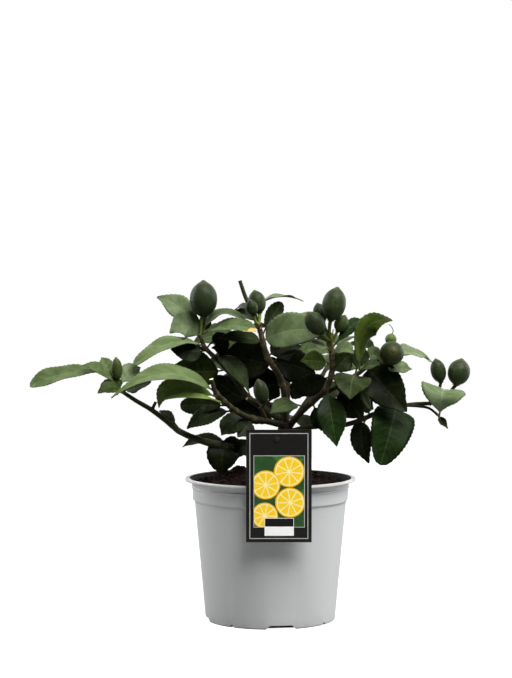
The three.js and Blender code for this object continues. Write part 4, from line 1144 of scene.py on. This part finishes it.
def add_leaf(body, leaf, draw):
    start, end, up = Vector(leaf.root), Vector(leaf.tip), Vector(leaf.face)
    pull = Vector(leaf.middle) * 2 - start * 0.5 - end * 0.5
    samples = [bezier(start, pull, end, step / 20) for step in range(21)]
    length = sum((after - here).length for here, after in zip(samples, samples[1:]))
    petiole = min(0.2, leaf.shape[2] / length)
    teeth = max(6, round(length * (1 - petiole) / TOOTH_SPACING))
    per_tooth, petiole_rings, columns = 3, 3, 12
    stations = teeth * per_tooth
    twist = math.radians(draw.uniform(-7, 7))
    ripple, ripple_turn = draw.uniform(0.02, 0.045), draw.uniform(0, math.tau)
    shade, yellow = TONES[leaf.tone]
    shade = min(1.0, max(0.0, shade + draw.uniform(-0.06, 0.06)))
    # Leaves of some tones carry a painted highlight that fades from the foot to the tip.
    bend_highlight = BEND_HIGHLIGHT.get(leaf.tone, 0.0)
    rings, places = [], []
    for station in range(-petiole_rings, stations + 1):
        share = max(station, 0) / stations
        along = petiole + (1 - petiole) * share
        if station < 0:
            along = petiole * (station + petiole_rings) / petiole_rings
        centre = bezier(start, pull, end, along)
        forward = ((pull - start) * (1 - along) + (end - pull) * along).normalized()
        side = Matrix.Rotation(twist * share, 3, forward) @ forward.cross(up).normalized()
        normal = side.cross(forward)
        half = max(leaf_outline(share, leaf.shape) * leaf.width / 2, 1 - share * 12, 0.25)
        saw = 1 - (station % per_tooth) / per_tooth
        bite = TOOTH_DEPTH * saw * min(1.0, share * 6) * min(1.0, (1 - share) * 8) * min(1.0, leaf.width / 24)
        half = max(0.25, half - bite)
        settle = min(1.0, max(0.0, station) / (stations * 0.12))
        thick = PETIOLE_THICKNESS + (BLADE_THICKNESS - PETIOLE_THICKNESS) * settle
        wave = ripple * leaf.width * math.sin(math.tau * 2.1 * share + ripple_turn) * min(1.0, share * 4)
        top, under = [], []
        for column in range(columns + 1):
            u = -1 + 2 * column / columns
            reach = abs(u)
            fold = LEAF_FOLD * half * (math.sqrt(u * u + 0.012) - 0.11) * settle
            phase = share * LATERAL_VEINS - VEIN_ARCH * reach ** VEIN_BEND
            swell = 0.006 * leaf.width * math.cos(math.tau * phase) * reach * (1 - reach) * 4 * settle
            lift = fold + wave * reach ** 2 * (1 if u > 0 else -0.6) - swell
            edge = math.sqrt(max(0.0, 1 - u ** 4))
            groove = 0.18 * math.exp(-(u / 0.07) ** 2) * settle
            keel = 0.75 * (1 - 0.7 * share) * math.exp(-(u / 0.09) ** 2) * settle
            base = centre + side * (u * half) + normal * lift
            top.append(base + normal * (thick / 2 * edge - groove))
            under.append(base - normal * (thick / 2 * edge + keel))
        rings.append(top + under[-2:0:-1])
        places.append(share)
    across = [column / columns for column in (*range(columns + 1), *range(columns - 1, 0, -1))]
    body.loft(rings, lambda ring: (shade + bend_highlight * (1 - places[ring]), yellow, leaf.scorch),
              lambda ring, side: (across[side], places[ring]),
              lambda side: 0 if side < columns else 1, end_material=1)


def build_leaves(name, shoot, materials, draw):
    body = Body()
    for leaf in parts_of(shoot, Leaf):
        add_leaf(body, leaf, draw)
    body.finish("leaves_" + name, materials, "shoot_" + name, "leaf")


# ---------------- fruits

# Half the fruit's outline, as shares of its half width and of its length.
FRUIT_PROFILE = [
    (0.1, 0.0), (0.2, 0.006), (0.36, 0.04), (0.58, 0.1), (0.8, 0.2), (0.95, 0.33), (1.0, 0.46), (0.98, 0.58),
    (0.89, 0.7), (0.73, 0.8), (0.52, 0.88), (0.34, 0.93), (0.23, 0.955), (0.16, 0.98), (0.08, 0.998),
]


def build_fruit(name, fruit, material, draw):
    seat = Vector(fruit.seat)
    axis = Vector(fruit.nipple) - seat
    across = axis.orthogonal().normalized()
    other = axis.normalized().cross(across)
    path = smooth_path([(radius, height, 0) for radius, height in FRUIT_PROFILE], 3)
    turn_shift = draw.uniform(0, math.tau)
    lean = draw.uniform(0.01, 0.03)
    rings = []
    for point in path:
        centre = seat + axis * point.y
        radius = point.x * fruit.width / 2
        rings.append([centre + out * radius * (1 + lean * math.cos(2 * turn + turn_shift))
                      for turn, out in spokes(across, other, 56)])
    body = Body()
    body.loft(rings, lambda ring: (fruit.shade, fruit.yellow, path[ring].y))
    body.finish("lemon_" + name, [material], "fruit_" + name, "fruit")


def build_style(bark):
    body = Body()
    add_tube(body, smooth_path(STYLE_PATH, 6), lambda share, centre: 0.5 - 0.15 * share, sides=8)
    body.finish("lemon_young_style", [bark], "fruit_young", "fruit")


# ---------------- the scene


def build_plant():
    bark, cut = bark_shader(), cut_wood_shader()
    leaf_materials = [leaf_top_shader(), leaf_under_shader()]
    rind = fruit_shader()
    draw = random.Random(SEED + 2)
    build_trunk(bark)
    for name, shoot in SHOOTS.items():
        build_stems(name, shoot, [bark, cut])
        build_leaves(name, shoot, leaf_materials, draw)
    for name, fruit in FRUITS.items():
        build_fruit(name, fruit, rind, draw)
    build_style(bark)


add_camera()
add_world()
add_lights()
bpy.context.scene.view_settings.view_transform = "Standard"

build_floor()
build_pot()
build_soil()
build_chips()
build_card()
build_print()
build_clip()
build_plant()
